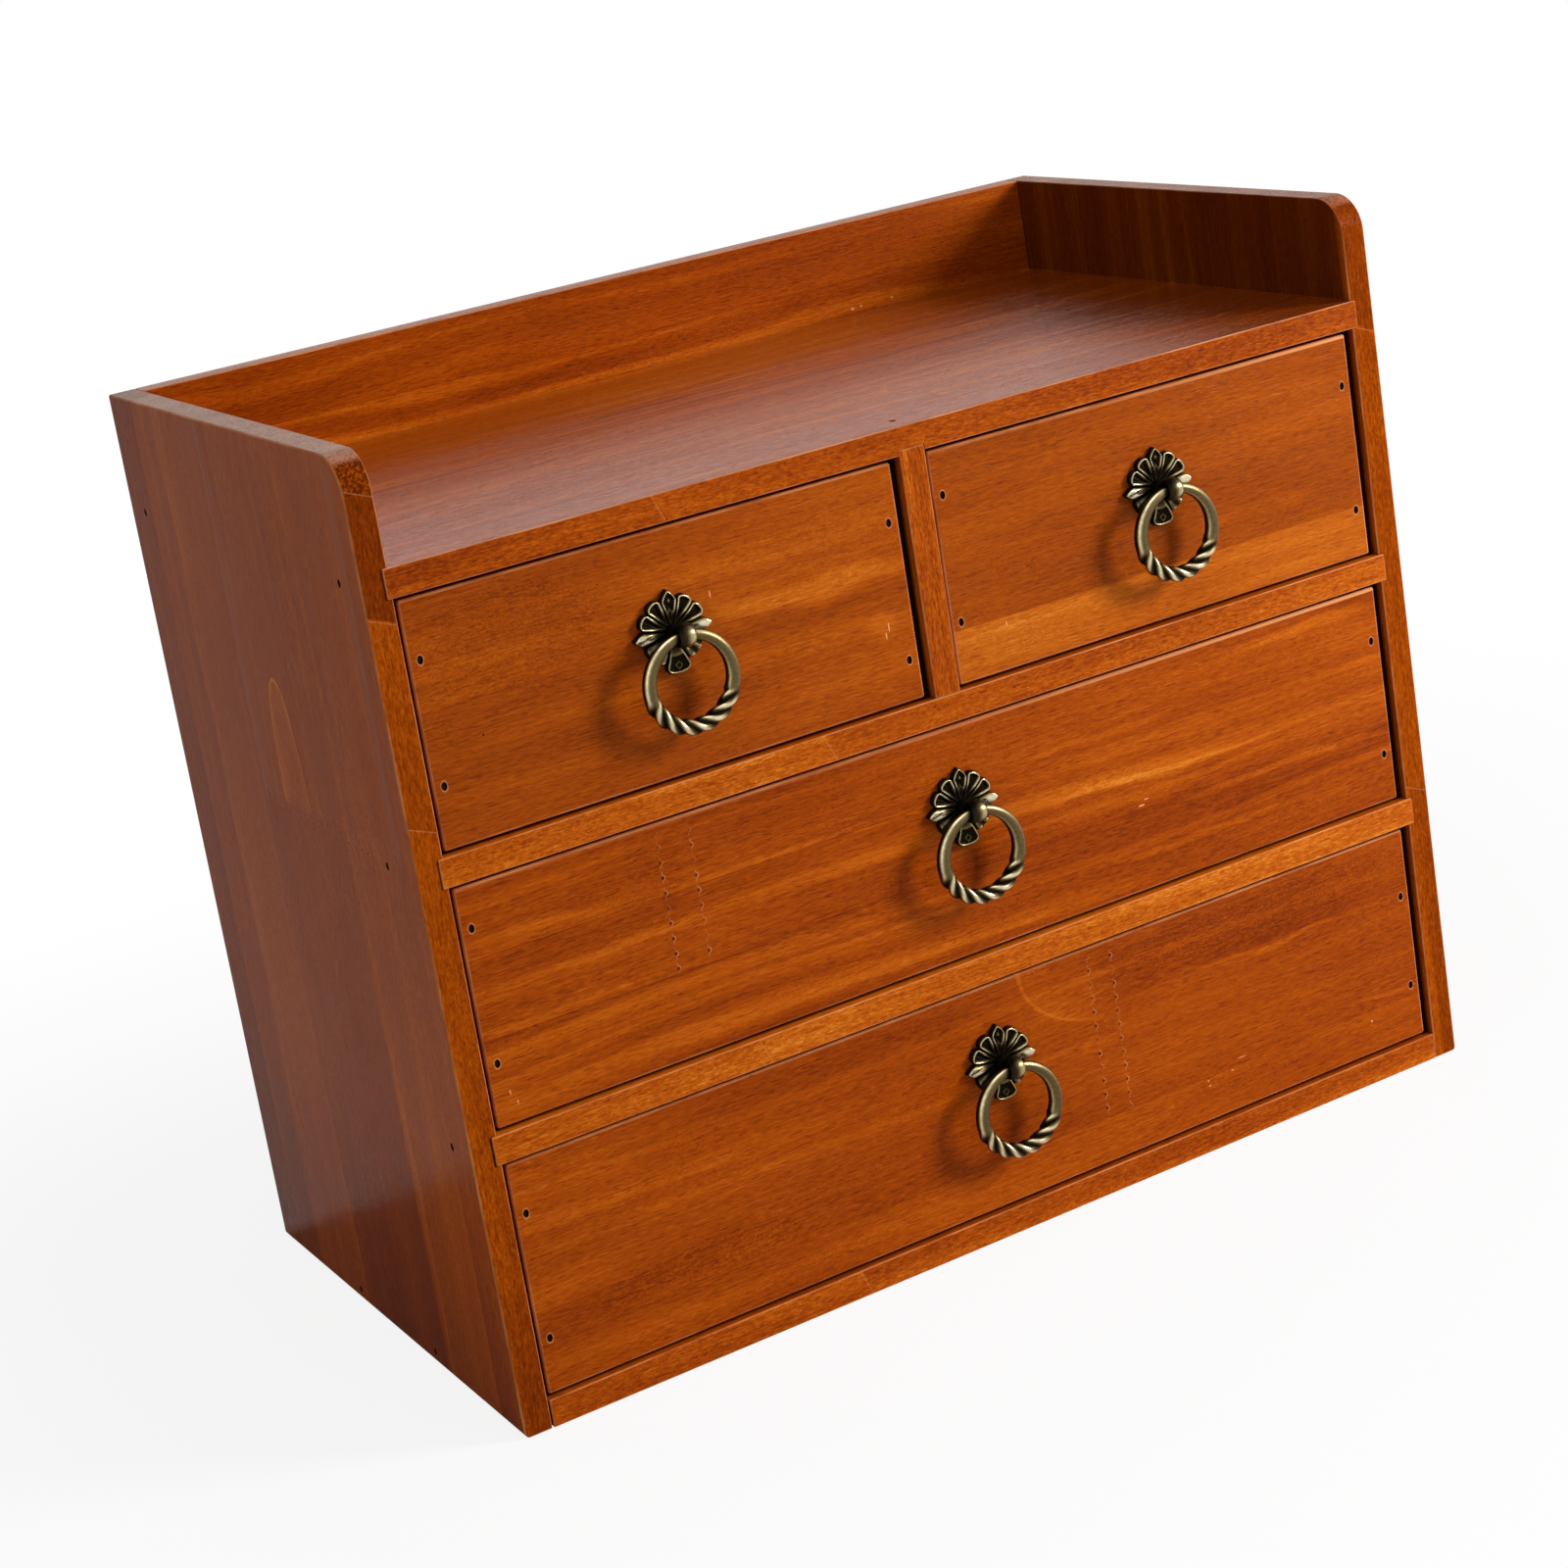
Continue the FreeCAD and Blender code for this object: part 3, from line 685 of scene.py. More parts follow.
def cut(piece, cutters):
    for cutter in cutters:
        modifier = piece.modifiers.new("cut", "BOOLEAN")
        modifier.operation = "DIFFERENCE"
        modifier.solver = "EXACT"
        modifier.object = cutter
    bpy.context.view_layer.update()
    evaluated = piece.evaluated_get(bpy.context.evaluated_depsgraph_get())
    piece.data = bpy.data.meshes.new_from_object(evaluated)
    piece.modifiers.clear()


def finish_board(piece, node, slot_name, cutters, *layup, **look):
    """Cuts and varnishes a board and puts it in its node's place. Layup and look are for wood."""
    if cutters:
        cut(piece, cutters)
    mesh = piece.data
    mesh.materials.clear()
    mesh.materials.append(wood(piece.name, *layup, **look))
    mesh.shade_smooth()
    mesh.set_sharp_from_angle(angle=radians(38))
    piece.modifiers.new("weighted_normals", "WEIGHTED_NORMAL").keep_sharp = True
    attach(piece, frame["nodes"][node]["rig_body"])
    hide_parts(node)


# Case and drawers

def random_staves(seed, width_share):
    rows = []
    pick = random.Random(seed)
    start = 0
    while start < 0.97:
        rows.append((start, pick.uniform(-0.07, 0.07), pick.random(), pick.uniform(0.5, 1)))
        start += width_share * pick.uniform(0.8, 1.2)
    return rows


CASE_BOARDS = {
    # thick axis, grain, across, stave width as a share, tone, inner faces with painted shade, marks (the
    # back panel's top gets a painted sheen)
    "back_panel": ("y", "x", "z", 0.2, -0.07, [("y", -1, 0, 0.285, 0.9)], dict(
        painted_top_sheen=0.5,
        pale_specks=[(103.9, 297.2, 1, 0.7), (108, 297.6, 0.6, 0.5), (122.8, 298, 0.6, 0.5)],
    )),
    "bottom_board": ("z", "x", "y", 0.25, 0.06, [("z", 1, 0, 0.1, 0.8)], dict(
        edge_rows=[(0, 0.02, 0.2, 1), (0.33, 0, 0.7, 1)],
    )),
    "lower_shelf": ("z", "x", "y", 0.25, 0.11, [("z", 1, 0, 0.2, 0.8), ("z", -1, 0, 0.2, 0.9)], dict(
        edge_rows=[(0, 0.02, 0.3, 1), (0.27, 0.06, 0.6, 1)],
    )),
    "upper_shelf": ("z", "x", "y", 0.25, -0.01, [("z", 1, 0, 0.3, 0.8), ("z", -1, 0, 0.3, 0.9)], dict(
        edge_rows=[(0, 0.04, 0.5, 1), (0.38, 0.02, 0.9, 1)],
    )),
    "top_board": ("z", "x", "y", 0.25, -0.04, [("z", -1, 0, 0.3, 0.9)], dict(
        edge_rows=[(0, -0.14, 0.8, 1), (0.255, -0.03, 0.1, 1)],
    )),
    "divider": ("x", "z", "y", 0.25, 0.03, [("x", 1, 0, 0.3, 0.9), ("x", -1, 0, 0.3, 0.9)], {}),
}

# How much later a visible board starts, so that its end doesn't show at a cut edge
HIDDEN_STARTS = {"bottom_board": ("x", 0.6 * MM), "divider": ("z", 2 * MM)}

# The tray's floor gets a painted haze, and a painted shadow over its right end, where the right side stands
# between it and the lamp
TRAY = dict(
    roughness=0.2, gloss=0.5, stain=0.05, painted_haze=0.1, hole_rim=0.15, back_seam=97.5,
    shade=("x", 85, 180, 0, -0.32),
    streaks=[(-30, 26, 50, 2, -0.26), (-110, 1, 70, 1.8, -0.32), (60, 6, 80, 1.6, -0.26),
        (130, -36, 25, 1.8, -0.3), (125, -48, 30, 1.6, -0.26), (20, 35, 110, 1.8, 0.2),
        (-10, 17, 90, 1.8, 0.16), (-80, -22, 60, 1.4, -0.2), (80, -18, 40, 1.6, -0.24),
        (-120, -85, 60, 1.3, -0.16), (-140, -70, 40, 1.1, -0.16), (120, 27, 40, 1.8, -0.24)],
)

# On the sides: a painted haze, painted shade on the inner faces and on the right side's inner face above the
# tray, a painted sheen on the top edges, and the left side darker towards its foot, painted in place of the
# darker reflection there
SIDE_VARNISH = dict(roughness=0.13, gloss=0.0065, painted_haze=0.08, hole_rim=0.12)

SIDES = {
    "left_side": dict(
        inner_faces=[("x", 1, 0, 0.2847, 0.95)],
        staves=[(0, 0, 0.15, 0.3), (0.081, 0.08, 0.63, 0.3), (0.278, -0.08, 0.4, 0.2),
            (0.605, 0.05, 0.9, 0.3), (0.814, -0.02, 0.22, 0.3), (0.912, -0.14, 0.77, 0.3)],
        staves_past=[(0, 0.06, 0.35, 0.3), (0.231, 0.02, 0.55, 0.4)],
        joint=(198.7, 5, 0.06, 0.62, 0.5),
        lean=0.015,
        arches=[(198.7, -9.2, 46, 11, 2.2, 0.02)],
        arch_strength=0.34,
        streaks=[(95, 14, 60, 7, 0.08), (250, 62, 300, 2.5, 0.1), (280, -42, 80, 3, 0.1),
            (60, -52, 120, 2.5, 0.1), (150, 23, 120, 2, -0.08), (260, -28, 70, 2, -0.08)],
        shade=("z", 0, 110, -0.16, 0),
        curls=[(208, -72, 7, 20)],
        edge_rows=[(0, -0.08, 0.2, 1), (0.64, -0.08, 0.5, 1), (0.845, -0.36, 0.8, 1), (0.968, -0.3, 0.3, 1)],
        edge_end=319.5,
        painted_top_sheen=0.8,
    ),
    "right_side": dict(
        inner_faces=[("x", -1, 0, 0.2847, 0.95), ("x", -1, 0.2953, 0.4, 0.66)],
        staves=[(0, 0, 0.35, 0.7), (0.21, -0.04, 0.55, 0.5), (0.43, 0.03, 0.05, 0.8),
            (0.65, -0.02, 0.87, 0.6), (0.84, 0.02, 0.72, 0.7)],
        lean=0.015,
        edge_rows=[(0, -0.16, 0.6, 1), (0.33, -0.12, 0.3, 1), (0.86, -0.2, 0.1, 1)],
        painted_top_sheen=0.4,
    ),
}

# Painted shade on the ends, top and bottom of each front, from 2.7 mm behind the case's front inwards, in
# place of the shade in the gaps around it
FRONT_PAINTED_SHADE = dict(
    inner_faces=[(axis, sign, 0, 0.3, 0.45) for axis in ("x", "z") for sign in (1, -1)],
    painted_shade_depth=(2.7, 4),
)

# On the fronts: the upper left front darker at its left end and lighter beyond, as painted shade and light,
# a painted haze on the two upper fronts, and a painted highlight along the top arris of the upper right and
# middle fronts
FRONTS = {
    "upper_left": dict(
        staves=[(0, -0.03, 0.13, 0.3), (0.55, 0, 0.52, 0.3)],
        shade=("x", -140, -85, -0.03, 0.04),
        streaks=[(-40, 249.5, 60, 5.5, 0.26), (-70, 264, 60, 4, 0.06), (-20, 229, 7, 6, 0.12),
            (-60, 241, 110, 4, -0.07), (-90, 225, 90, 5, -0.04)],
        curls=[(-155, 262, 40, 20)],
        painted_haze=0.08,
        dark_specks=[(-168.5, 234.3, 0.45, 0.45), (-121, 271, 0.3, 0.3)],
        pale_specks=[(-82, 257.5, 0.3, 1.6), (-17.8, 228.7, 0.3, 2), (-19.2, 226, 0.3, 1.5)],
    ),
    "upper_right": dict(
        staves=[(0, 0.2, 0.31, 0.5), (0.225, -0.03, 0.77, 0.3)],
        painted_haze=0.1,
        streaks=[(140, 229, 40, 3.5, 0.1), (60, 243, 70, 2.5, 0.05), (150, 206, 30, 3, 0.06),
            (60, 230, 40, 6, -0.05)],
        painted_arris_highlight=0.9,
        pale_specks=[(28.3, 217.5, 0.3, 1.2)],
    ),
    "middle": dict(
        staves=[(0, -0.04, 0.44, 0.8), (0.36, -0.04, 0.09, 0.9), (0.7, -0.05, 0.63, 0.6)],
        staves_past=[(0, 0, 0.44, 0.8), (0.36, 0.01, 0.09, 0.9), (0.7, 0, 0.63, 0.6)],
        joint=(-110, 12, 0.36, 0.97, 1),
        streaks=[(-160, 168.5, 40, 2.8, 0.12), (-150, 151.5, 60, 2.8, 0.14), (-160, 138, 50, 2.5, 0.12),
            (-60, 163, 60, 2.5, 0.07), (85, 148, 70, 2.4, 0.13), (140, 134, 60, 2.6, 0.2),
            (155, 182, 45, 3, 0.2), (60, 168, 50, 2.4, 0.14), (100, 119.5, 60, 2.6, 0.18),
            (-100, 113, 70, 4, 0.08), (150, 158, 60, 6, -0.07), (150, 126, 60, 4, -0.07)],
        painted_arris_highlight=0.9,
        pale_specks=[(73.2, 137.5, 1.6, 0.4), (75.5, 139.3, 1.2, 0.3), (-182, 117, 0.25, 1.2),
            (-180, 113, 0.25, 0.9)],
    ),
    "bottom": dict(
        staves=[(0, 0.01, 0.19, 0.4), (0.2, -0.05, 0.71, 0.3), (0.343, 0, 0.58, 0.4)],
        staves_past=[(0, -0.01, 0.19, 0.4), (0.2, -0.02, 0.71, 0.3), (0.715, -0.08, 0.58, 0.4)],
        joint=(46.2, 10, 0.2, 0.97, 0.9),
        arches=[(50, 92, -38, 26, 2, 0.5)],
        streaks=[(115, 69, 70, 1.2, 0.12), (120, 50, 60, 8, 0.02), (170, 33, 20, 1.5, 0.16),
            (-60, 86, 90, 5, -0.05)],
        curls=[(120, 82, 72, 11), (-125, 36, 48, 6)],
        pale_specks=[(86.5, 24.5, 0.5, 0.4), (86, 26.6, 0.4, 0.4), (97.2, 27, 0.8, 0.3),
            (102, 30.6, 2.4, 0.2), (163, 24, 0.6, 0.5)],
    ),
}


def varnish_tray(piece, low, high, found):
    """The tray's floor is glossier and more streaked than the rest of its board."""
    holes = holes_in(found, "x", "y", (0, 0, -1), 1.25, 2.2)
    piece.data.materials.append(
        wood("tray_wood", low, high, "x", "y", [(0, 0, 0.3, 0.5)], holes=holes, **TRAY))
    for polygon in piece.data.polygons:
        polygon.material_index = int(polygon.normal.z > 0.7)


def build_case(cutters):
    found = nail_spots("case_nails")
    pockets = pocket_cutter("case_pockets", found)
    divider_low, divider_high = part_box("divider")
    ease = Vector((0.1, 0.5, 0.1)) * MM
    notch = even_slab("divider_end", divider_low - ease, divider_high + ease, "x", 0.2 * MM)
    cutters += [pockets, notch]
    for node, (thick, grain, across, width_share, tone, inner_faces, marks) in CASE_BOARDS.items():
        low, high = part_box(node)
        start = low.copy()
        if node in HIDDEN_STARTS:
            axis, distance = HIDDEN_STARTS[node]
            start[AXES[axis]] += distance
        piece = even_slab(node + "_wood", start, high, thick, 0.5 * MM)
        board_cutters = [pockets, notch] if node == "top_board" else []
        finish_board(piece, node, "case_wood", board_cutters, low, high, grain, across,
                     random_staves(node, width_share), inner_faces=inner_faces, stain=tone, **marks)
        if board_cutters:
            varnish_tray(piece, low, high, found)
    build_sides(found, pockets, cutters)


def shelf_end_cutters():
    """Blocks a little larger than the ends of the shelves, for the dadoes in the sides."""
    ease = Vector((0.15, 0.1, 0.1)) * MM
    ends = []
    for node, left_gap in (("lower_shelf", 0.6), ("upper_shelf", 0.25), ("top_board", 0.25)):
        low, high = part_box(node)
        start = low - ease
        start.x = low.x - left_gap * MM
        ends.append(even_slab("end_" + node, start, high + ease, "z", 0.3 * MM))
    return ends


def build_sides(found, pockets, cutters):
    shelf_ends = shelf_end_cutters()
    cutters += shelf_ends
    outer_rim, inner_rim = 0.7 * MM, 0.5 * MM
    for node, marks in SIDES.items():
        low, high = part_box(node)
        if node == "left_side":
            inward, outer_x, rims = 1, low.x, (outer_rim, inner_rim)
        else:
            inward, outer_x, rims = -1, high.x, (inner_rim, outer_rim)
        piece = slab(node + "_wood", low, high, "x", [outer_rim] * 3 + [SIDE_CORNER_RADIUS], *rims)
        foot = foot_cutter("foot_" + node, outer_x, -inward)
        cutters.append(foot)
        finish_board(piece, node, "case_wood", [pockets, foot] + shelf_ends, low, high, "z", "y",
                     holes=holes_in(found, "z", "y", (inward, 0, 0), 1.5, 1.1), **SIDE_VARNISH, **marks)


def build_drawers(cutters):
    for drawer in DRAWERS:
        found = nail_spots(drawer + "_drawer_nails")
        pockets = pocket_cutter(drawer + "_pockets", found)
        cutters.append(pockets)
        node = drawer + "_drawer_front"
        low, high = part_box(node)
        ease = Vector((0, 0, 0.5)) * MM
        piece = slab(node + "_wood", low - ease, high + ease, "y", [1 * MM] * 4, 1 * MM, 0.3 * MM)
        finish_board(piece, node, "drawer_wood", [pockets], low, high, "x", "z",
                     holes=holes_in(found, "x", "z", (0, 1, 0), 1, 1.5), **FRONT_PAINTED_SHADE, **FRONTS[drawer])
        for ending, thick, grain, nailed in (
            ("_drawer_left_side", "x", "y", [pockets]), ("_drawer_right_side", "x", "y", [pockets]),
            ("_drawer_back", "y", "x", []),
        ):
            node = drawer + ending
            low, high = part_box(node)
            piece = even_slab(node + "_wood", low, high, thick, 0.4 * MM)
            finish_board(piece, node, "drawer_wood", nailed, low, high, grain, "z",
                         random_staves(node, 0.5), roughness=0.42, stain=0.1)
        node = drawer + "_drawer_bottom"
        low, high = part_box(node)
        piece = even_slab(node + "_sheet", low, high, "z", 0.2 * MM)
        finish_board(piece, node, "plywood", [], low, high, "x", "y", [(0, 0, 0.4, 0.6)],
                     roughness=0.5, stain=0.16)


# Ring pulls. Lengths without the factor MM are in millimetres here.

RING_RADIUS = 15.25 * MM
ROPE_START, ROPE_END = radians(117), radians(254)
ROPE_RADIUS = 2.85 * MM
PULL_STANDOFF = 9.5
EYE_BORE, EYE_WALL, EYE_HALF = 2.02, 1.95, 3
SHANK_RADIUS = 1.5
FRONT_THICKNESS, NUT_THICKNESS, SHANK_PAST_NUT = 10, 2.4, 1
BRASS = brass("antique_brass")


def cast_mesh(name, count, section_at):
    """A smooth closed mesh from sections, each a list of (point, how dark its brass is, from patina and
    painted light and shade).
    """
    sections = [section_at(index / count) for index in range(count)]
    points = [point for section in sections for point, _ in section]
    patina_and_light_values = [patina_and_light for section in sections for _, patina_and_light in section]
    faces = band_faces(count, len(sections[0]), closed=True)
    mesh = new_mesh(name, points, faces, "patina_and_light", "POINT", patina_and_light_values)
    mesh.materials.append(BRASS)
    mesh.shade_smooth()
    return mesh


def smooth(value, low, high):
    share = min(max((value - low) / (high - low), 0), 1)
    return share * share * (3 - 2 * share)


def bell(value, middle, width):
    return exp(-((value - middle) / width) ** 2)


def ring_patina_and_light(phi, radius, from_top, into_rope):
    """Painted highlights in two lines along the front of the bow, painted shade on its sides and back, dark
    grooves in the rope, and darker where the ring runs into the eye.
    """
    turned = (degrees(phi) + 270) % 360 - 180
    bow = 0.42 - 0.38 * bell(turned, 48, 16) - 0.24 * bell(turned, -52, 13)
    depth = ROPE_RADIUS - radius
    rope = 0.04 + 0.5 * smooth(depth, 0.02 * MM, 0.35 * MM) + 0.45 * smooth(depth, 0.35 * MM, 0.9 * MM)
    twisted = smooth(into_rope, -1.8 * MM, 0.8 * MM)
    behind = 0.45 * smooth(abs(turned), 64, 92)
    in_eye = 0.5 * (1 - smooth(from_top, 0.08, 0.3))
    return bow * (1 - twisted) + rope * twisted + behind + in_eye


def ring_section(share):
    """The ring has a bow that swells away from the eye, and three twisted strands below."""
    size = 42
    strand_offset, strand_radius, strand_angle = 1.28 * MM, 1.57 * MM, 2 * pi / 3
    angle = 2 * pi * share
    signed = angle if angle < pi else angle - 2 * pi
    limit = ROPE_START if signed >= 0 else 2 * pi - ROPE_END
    into_rope = min(angle - ROPE_START, ROPE_END - angle) * RING_RADIUS
    bow = (1.5 + 1 * sin(pi / 2 * min(abs(signed) / limit, 1))) * MM
    bow *= 1 - 0.5 * smooth(into_rope, -1 * MM, 3.4 * MM)
    rise = smooth(into_rope, -4.5 * MM, 1.2 * MM)
    turn = -2 * 2 * pi * (angle - ROPE_START) / (ROPE_END - ROPE_START)
    outward = Vector((sin(angle), 0, cos(angle)))
    centre = outward * RING_RADIUS - Vector((0, 0, RING_RADIUS))
    section = []
    for point in range(size):
        phi = 2 * pi * point / size
        from_strand = (phi - turn + strand_angle / 2) % strand_angle - strand_angle / 2
        reach = strand_offset * cos(from_strand)
        reach += sqrt(strand_radius ** 2 - (strand_offset * sin(from_strand)) ** 2)
        rope = reach * (0.72 + 0.28 * rise)
        radius = ((bow / MM) ** 12 + (rope / MM) ** 12) ** (1 / 12) * MM if rise > 0 else bow
        radius = min(radius, max(bow, ROPE_RADIUS))
        direction = outward * cos(phi) + Vector((0, 1, 0)) * sin(phi)
        section.append((centre + direction * radius, ring_patina_and_light(phi, radius, abs(signed), into_rope)))
    return section


PETALS = (
    # start and end in degrees clockwise from the top, reach, kind
    (-16, 16, 14.2, "crown"), (16, 46, 12.9, "fan"), (46, 76, 12.9, "fan"), (76, 104, 14.4, "leaf"),
    (104, 158, 11.8, "scallop"), (158, 202, 14, "tab"), (202, 256, 11.8, "scallop"),
    (256, 284, 14.4, "leaf"), (284, 314, 12.9, "fan"), (314, 344, 12.9, "fan"),
)

# Powers that shape the end of each kind of petal
PETAL_ENDS = {
    "crown": (1, 0.75), "leaf": (1, 0.75), "tab": (5, 0.5), "fan": (2.6, 0.5), "scallop": (2.6, 0.5),
}


def petal_at(bearing):
    """Where a bearing crosses its petal (-1 to 1), and the petal's half angle, reach and kind."""
    bearing = (bearing + 16) % 360 - 16
    start, end, reach, kind = next(petal for petal in PETALS if petal[0] <= bearing < petal[1])
    half = (end - start) / 2
    return (bearing - (start + end) / 2) / half, radians(half), reach, kind


def outline_reach(side, reach, kind):
    valley = 10.1
    inner, outer = PETAL_ENDS[kind]
    return valley + (reach - valley) * (1 - abs(side) ** inner) ** outer


def bowl(share):
    """Height of the rosette without relief, at a share of the way to its outline."""
    return 1.1 + 1.5 * smooth(share, 0.2, 0.75)


def relief(side, half, kind, radius, edge):
    """Height of the rosette's face at a radius, and how deep in a groove. Its outline is at edge."""
    share = radius / edge
    across = abs(side)
    arc = half * radius
    from_side = (1 - across) * arc
    from_edge = edge - radius
    border = min(from_side, from_edge)
    rim = smooth(border, 0, 0.5) * (1 - smooth(border, 0.7, 1.5))
    height = bowl(share)
    if kind == "fan":
        scoop = smooth(border, 0.7, 1.9) * smooth(share, 0.25, 0.5)
        rib = exp(-((side + 0.1) * arc / 0.35) ** 2) * smooth(share, 0.3, 0.6)
        height += 0.25 * rim - 0.95 * scoop + 0.45 * rib * (1 - smooth(share, 0.75, 0.95))
    elif kind == "scallop":
        height += 0.2 * rim + 0.3 * cos(3 * pi * side) * smooth(share, 0.35, 0.6) - 0.35
    elif kind == "leaf":
        height += 0.35 * (1 - across) - 0.5 * smooth(across, 0.35, 0.9)
    elif kind == "crown":
        lozenge = abs(radius - 10.4) / 1.9 + across * arc / 1.35
        height += 0.3 * rim - 0.75 * smooth(border, 0.6, 1.1) * smooth(share, 0.5, 0.62)
        height += 0.7 * (1 - smooth(lozenge, 0.35, 0.75))
    else:
        lozenge = abs(radius - 11.2) / 2 + across * arc / 2
        height += 0.2 * rim - 0.8 * smooth(border, 0.7, 1.2) * smooth(share, 0.55, 0.65)
        height += 0.7 * (1 - smooth(abs(lozenge - 0.62), 0.1, 0.26)) + 0.3 * (1 - smooth(lozenge, 0.1, 0.3))
    groove = (1 - smooth(from_side, 0, 0.5)) * smooth(share, 0.3, 0.6)
    height -= 0.9 * groove
    roll = smooth(from_edge, 0, 0.55)
    return max(height * (0.62 + 0.38 * sqrt(roll)), 0.5), groove


def rosette_section(share):
    """From the hub out over the relief, then back behind the rim to the bore."""
    rows = 44
    hub, bore, bore_depth = 2.4, 1.65, 1.1
    side, half, reach, kind = petal_at(360 * share)
    edge = outline_reach(side, reach, kind)
    outward = Vector((sin(2 * pi * share), 0, cos(2 * pi * share)))
    profile = []
    for row in range(rows + 1):
        radius = hub + (edge - hub) * row / rows
        height, groove = relief(side, half, kind, radius, edge)
        patina = 0.34 + 1.1 * (bowl(radius / edge) - height) + 0.45 * groove
        centre_dark = 0.75 * (1 - smooth(radius, 4, 8.5))
        profile.append((radius, height, min(max(patina, 0.02), 0.9) + centre_dark))
    profile += [(edge, 0, 0.8), (bore, 0, 0.8), (bore, bore_depth, 0.9)]
    return [
        (outward * (radius * MM) + Vector((0, (PULL_STANDOFF - height) * MM, 0)), patina_and_light)
        for radius, height, patina_and_light in profile
    ]


def revolved_mesh(name, profile, axis, segments, patina_and_light_of):
    """A mesh turned about an axis through the origin, from (along, radius) pairs."""
    def section_at(share):
        angle = 2 * pi * share
        section = []
        for along, radius in profile:
            a, b = radius * cos(angle), radius * sin(angle)
            point = Vector((along, a, b) if axis == "x" else (a, along, b)) * MM
            section.append((point, patina_and_light_of(along, radius, angle)))
        return section

    return cast_mesh(name, segments, section_at)


def bead_patina_and_light(along, radius, angle):
    # Paler on the side that faces forward as a painted highlight, painted shade over the left end, and dark
    # around the bore
    away = 1 - max(-cos(angle - 0.4), 0)
    bore_side = 1 - smooth(radius, 2.2, 3.4)
    return 0.12 + 0.5 * away ** 1.2 + 0.6 * bore_side + 0.6 * (1 - smooth(along, -1.8, 1.2))


def eye_bead_mesh():
    """The bead at the end of the bolt, bored for the ring."""
    steps = 24
    profile = []
    for step in range(steps):
        angle = 2 * pi * (step + 0.5) / steps
        along = EYE_HALF * copysign(abs(cos(angle)) ** 0.75, cos(angle))
        profile.append((along, EYE_BORE + EYE_WALL / 2 + EYE_WALL / 2 * sin(angle)))
    return revolved_mesh("pull_eye", profile, "x", 48, bead_patina_and_light)


def eye_stem_mesh():
    """The flared neck of the bolt, with its shank through the drawer's front and the nut."""
    steps = 13
    start, hub = 3.2, PULL_STANDOFF - 1.1
    profile = []
    for step in range(steps + 1):
        share = step / steps
        flare = (1 - share) ** 3 * 0.5 + share ** 4 * 0.35
        profile.append((start + (hub - start) * step / steps, 2.2 + flare))
    end = PULL_STANDOFF + FRONT_THICKNESS + NUT_THICKNESS + SHANK_PAST_NUT
    profile += [(hub, SHANK_RADIUS), (end - 0.3, SHANK_RADIUS), (end, 1.2), (end, 0.05), (start, 0.05)]
    return revolved_mesh("pull_stem", profile, "y", 40, lambda along, *_: 0.5 + 0.45 * smooth(along, 4, 7.5))


def paint_cad(node, material):
    mesh = frame["nodes"][node].data
    mesh.materials.clear()
    mesh.materials.append(material)


def build_pulls():
    shared = (
        ("_pull_ring", "_pull_ring_twisted", cast_mesh("pull_ring", 300, ring_section)),
        ("_pull_eye_bolt", "_pull_eye_bead", eye_bead_mesh()),
        ("_pull_eye_bolt", "_pull_eye_stem", eye_stem_mesh()),
        ("_pull_rosette", "_pull_rosette_cast", cast_mesh("pull_rosette", 300, rosette_section)),
    )
    for drawer in DRAWERS:
        low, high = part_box(drawer + "_pull_eye_bolt")
        bead_half = (EYE_BORE + EYE_WALL) * MM
        eye = Vector(((low.x + high.x) / 2, low.y + bead_half, (low.z + high.z) / 2))
        for ending, name, mesh in shared:
            node = drawer + ending
            piece = link(drawer + name, mesh)
            piece.location = eye
            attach(piece, frame["nodes"][node]["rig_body"])
            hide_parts(node)
        paint_cad(drawer + "_pull_nut", BRASS)


def build_nails():
    steel = dark_steel("nail_steel")
    for node in ["case_nails"] + [drawer + "_drawer_nails" for drawer in DRAWERS]:
        paint_cad(node, steel)


# Floor, light and camera

def rays_seen(t):
    """Whether a place is seen directly, and whether in a mirrored or bent ray."""
    rays = t.add("LightPath").outputs
    return rays["Is Camera Ray"], t.most(rays["Is Glossy Ray"], rays["Is Transmission Ray"])


def build_floor():
    """A pale floor that fades to the background's white away from the case."""
    material, t = new_material("pale_floor")
    x, y, _ = t.split(t.add("TexCoord").outputs["Object"])
    past_x = t.most(t.minus(t.size(x), cad_high.x), 0)
    past_y = t.most(t.minus(t.size(y), cad_high.y), 0)
    distance = t.diagonal(past_x, past_y)
    direct, mirrored = rays_seen(t)
    behind = t.span(y, 0.105, 0.115)
    white_direct = t.times(direct, t.span(distance, 0, 0.5, 0.86, 1, smooth=True))
    white_mirrored = t.times(mirrored, t.most(behind, t.span(distance, 0.3, 0.6, smooth=True)))
    matte = t.add("BsdfDiffuse", {"Color": (0.88, 0.88, 0.88, 1)})
    white = t.add("Emission", {"Color": (1, 1, 1, 1), "Strength": 1})
    share = t.most(white_direct, white_mirrored)
    t.output(t.add("MixShader", {0: share, 1: matte.outputs[0], 2: white.outputs[0]}))
    corners = [(x, y, 0) for x, y in ((-4, -4), (4, -4), (4, 4), (-4, 4))]
    mesh = bpy.data.meshes.new("floor")
    mesh.from_pydata(corners, [], [(0, 1, 2, 3)])
    mesh.materials.append(material)
    floor = link("floor", mesh)


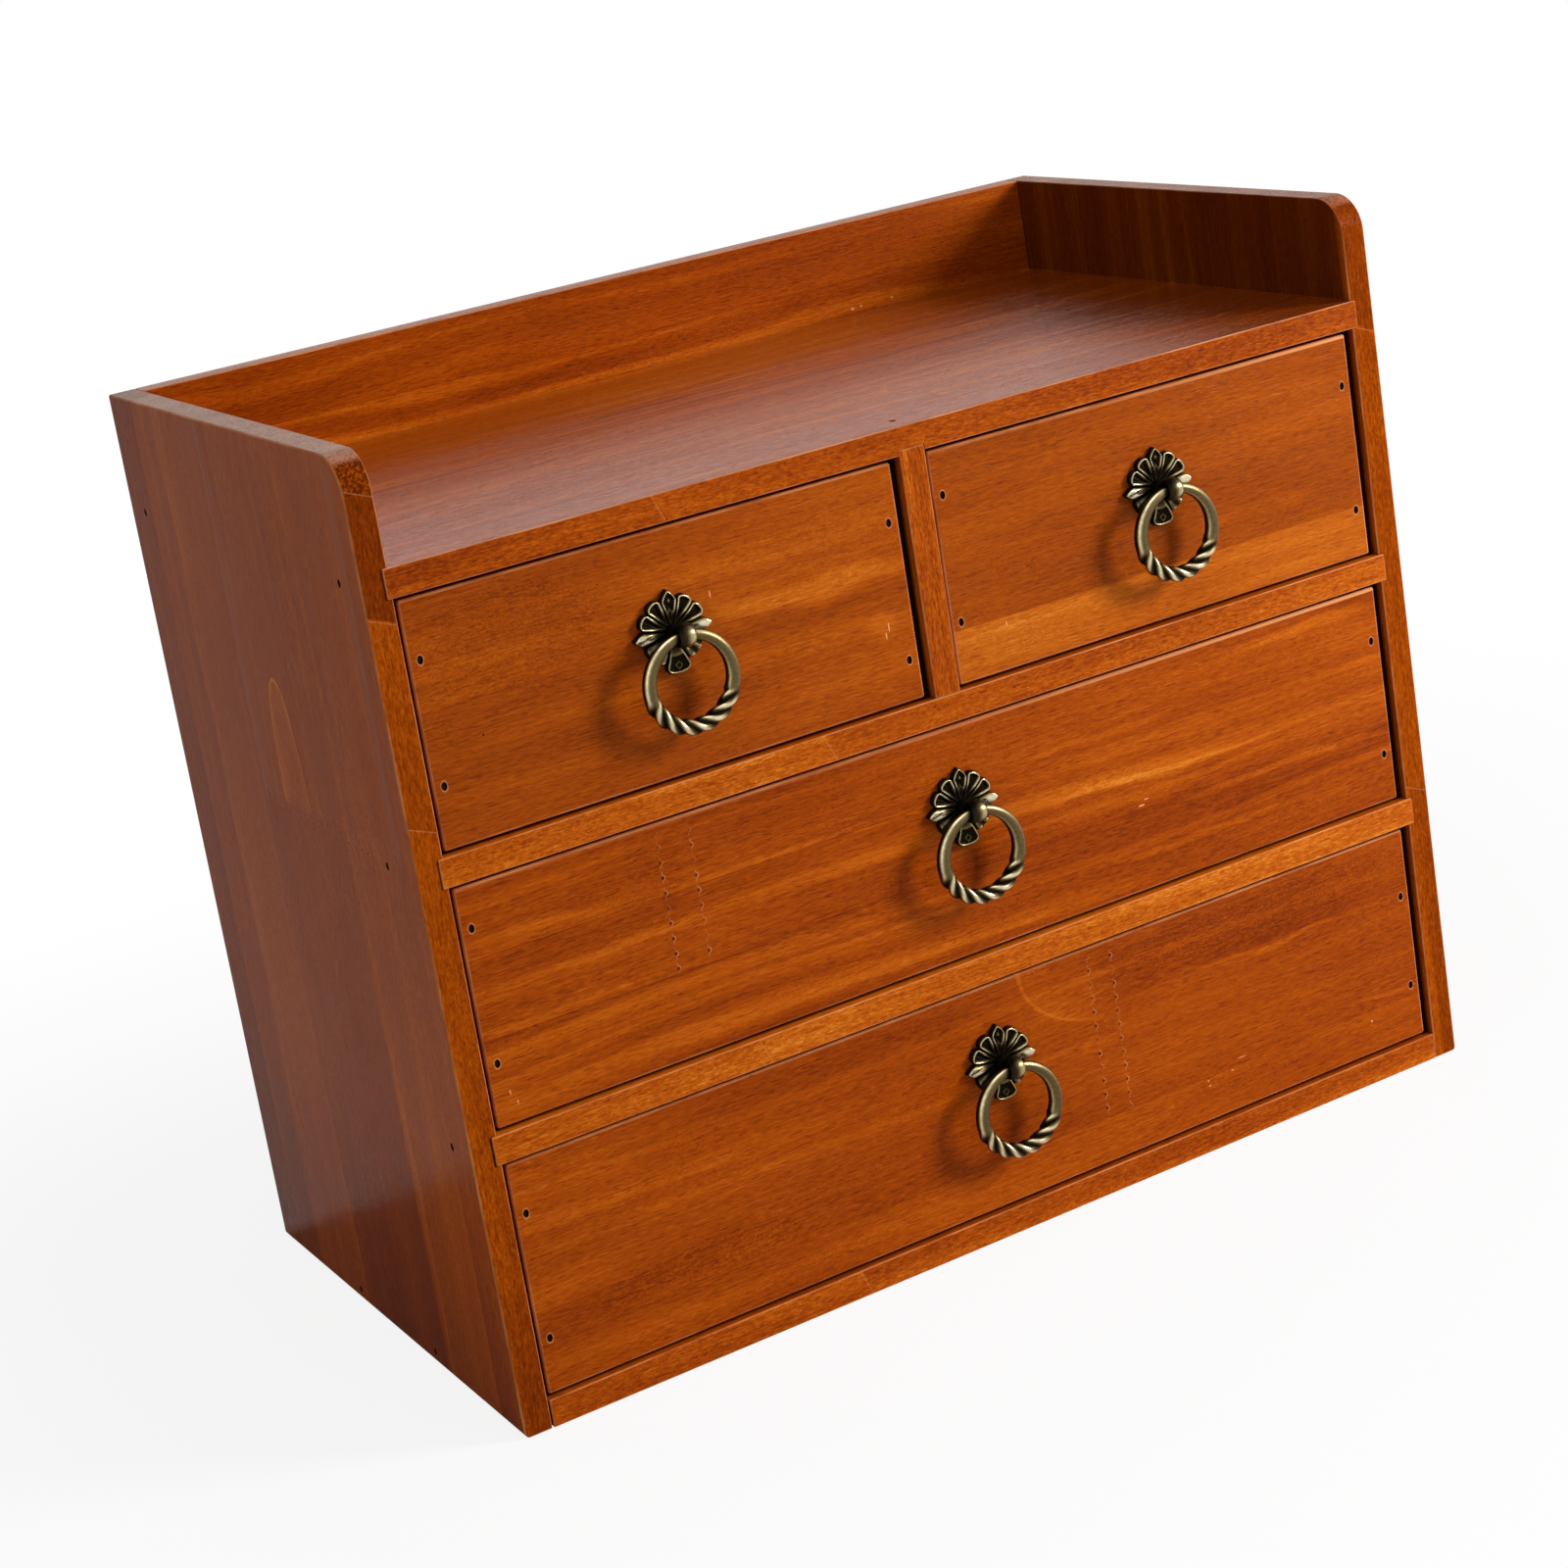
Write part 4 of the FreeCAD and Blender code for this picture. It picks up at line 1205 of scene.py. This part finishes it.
def build_world(ambient):
    """White to the camera and in mirrors, and a weaker light on everything else."""
    world = bpy.data.worlds.new("studio")
    world.use_nodes = True
    t = Tree(world.node_tree)
    strength = t.span(t.most(*rays_seen(t)), 0, 1, ambient, 1)
    background = t.add("Background", {"Color": (1, 1, 1, 1), "Strength": strength})
    t.output(background, "OutputWorld")
    bpy.context.scene.world = world


def area_light(name, azimuth, elevation, distance, wide, tall, power):
    """A soft lamp at an angle: azimuth 0 lights the front, 90 the right side."""
    a, e = radians(azimuth), radians(elevation)
    away = Vector((sin(a) * cos(e), -cos(a) * cos(e), sin(e)))
    lamp = bpy.data.lights.new(name, "AREA")
    lamp.shape = "RECTANGLE"
    lamp.size = wide
    lamp.size_y = tall
    lamp.energy = power
    light = link(name, lamp)
    light.location = Vector((0, 0, 0.16)) + away * distance
    light.rotation_mode = "QUATERNION"
    light.rotation_quaternion = (-away).to_track_quat("-Z", "Y")


def build_camera():
    """The camera at the photo's viewing angle, for a square picture."""
    eye = Vector((-0.5369138, -1.0171034, 0.514177))
    aim = Vector((0.609668, 1.1493978, -0.1086127))
    roll = -0.1601
    focal_pixels, picture_pixels = 3304, 1600
    forward = (aim - eye).normalized()
    level = forward.cross(Vector((0, 0, 1))).normalized()
    upright = level.cross(forward)
    right = cos(roll) * level + sin(roll) * upright
    up = -sin(roll) * level + cos(roll) * upright
    data = bpy.data.cameras.new("camera")
    data.sensor_width = 36
    data.lens = focal_pixels * data.sensor_width / picture_pixels
    data.shift_y = -0.125
    data.clip_start = 0.05
    data.clip_end = 50
    camera = link("camera", data)
    camera.matrix_world = Matrix.Translation(eye) @ Matrix((right, up, -forward)).transposed().to_4x4()
    bpy.context.scene.camera = camera


cutters = []
build_case(cutters)
build_drawers(cutters)
for cutter in cutters:
    bpy.data.objects.remove(cutter)
build_pulls()
build_nails()
build_floor()
build_world(ambient=0.225)
area_light("key", 50, 22, 1.6, 0.42, 0.5, 24.5)
area_light("top", -20, 70, 1.6, 1, 1, 4.6)
area_light("fill", -80, 25, 1.6, 1.2, 1.2, 2.3)
build_camera()
bpy.context.scene.view_settings.view_transform = "Standard"
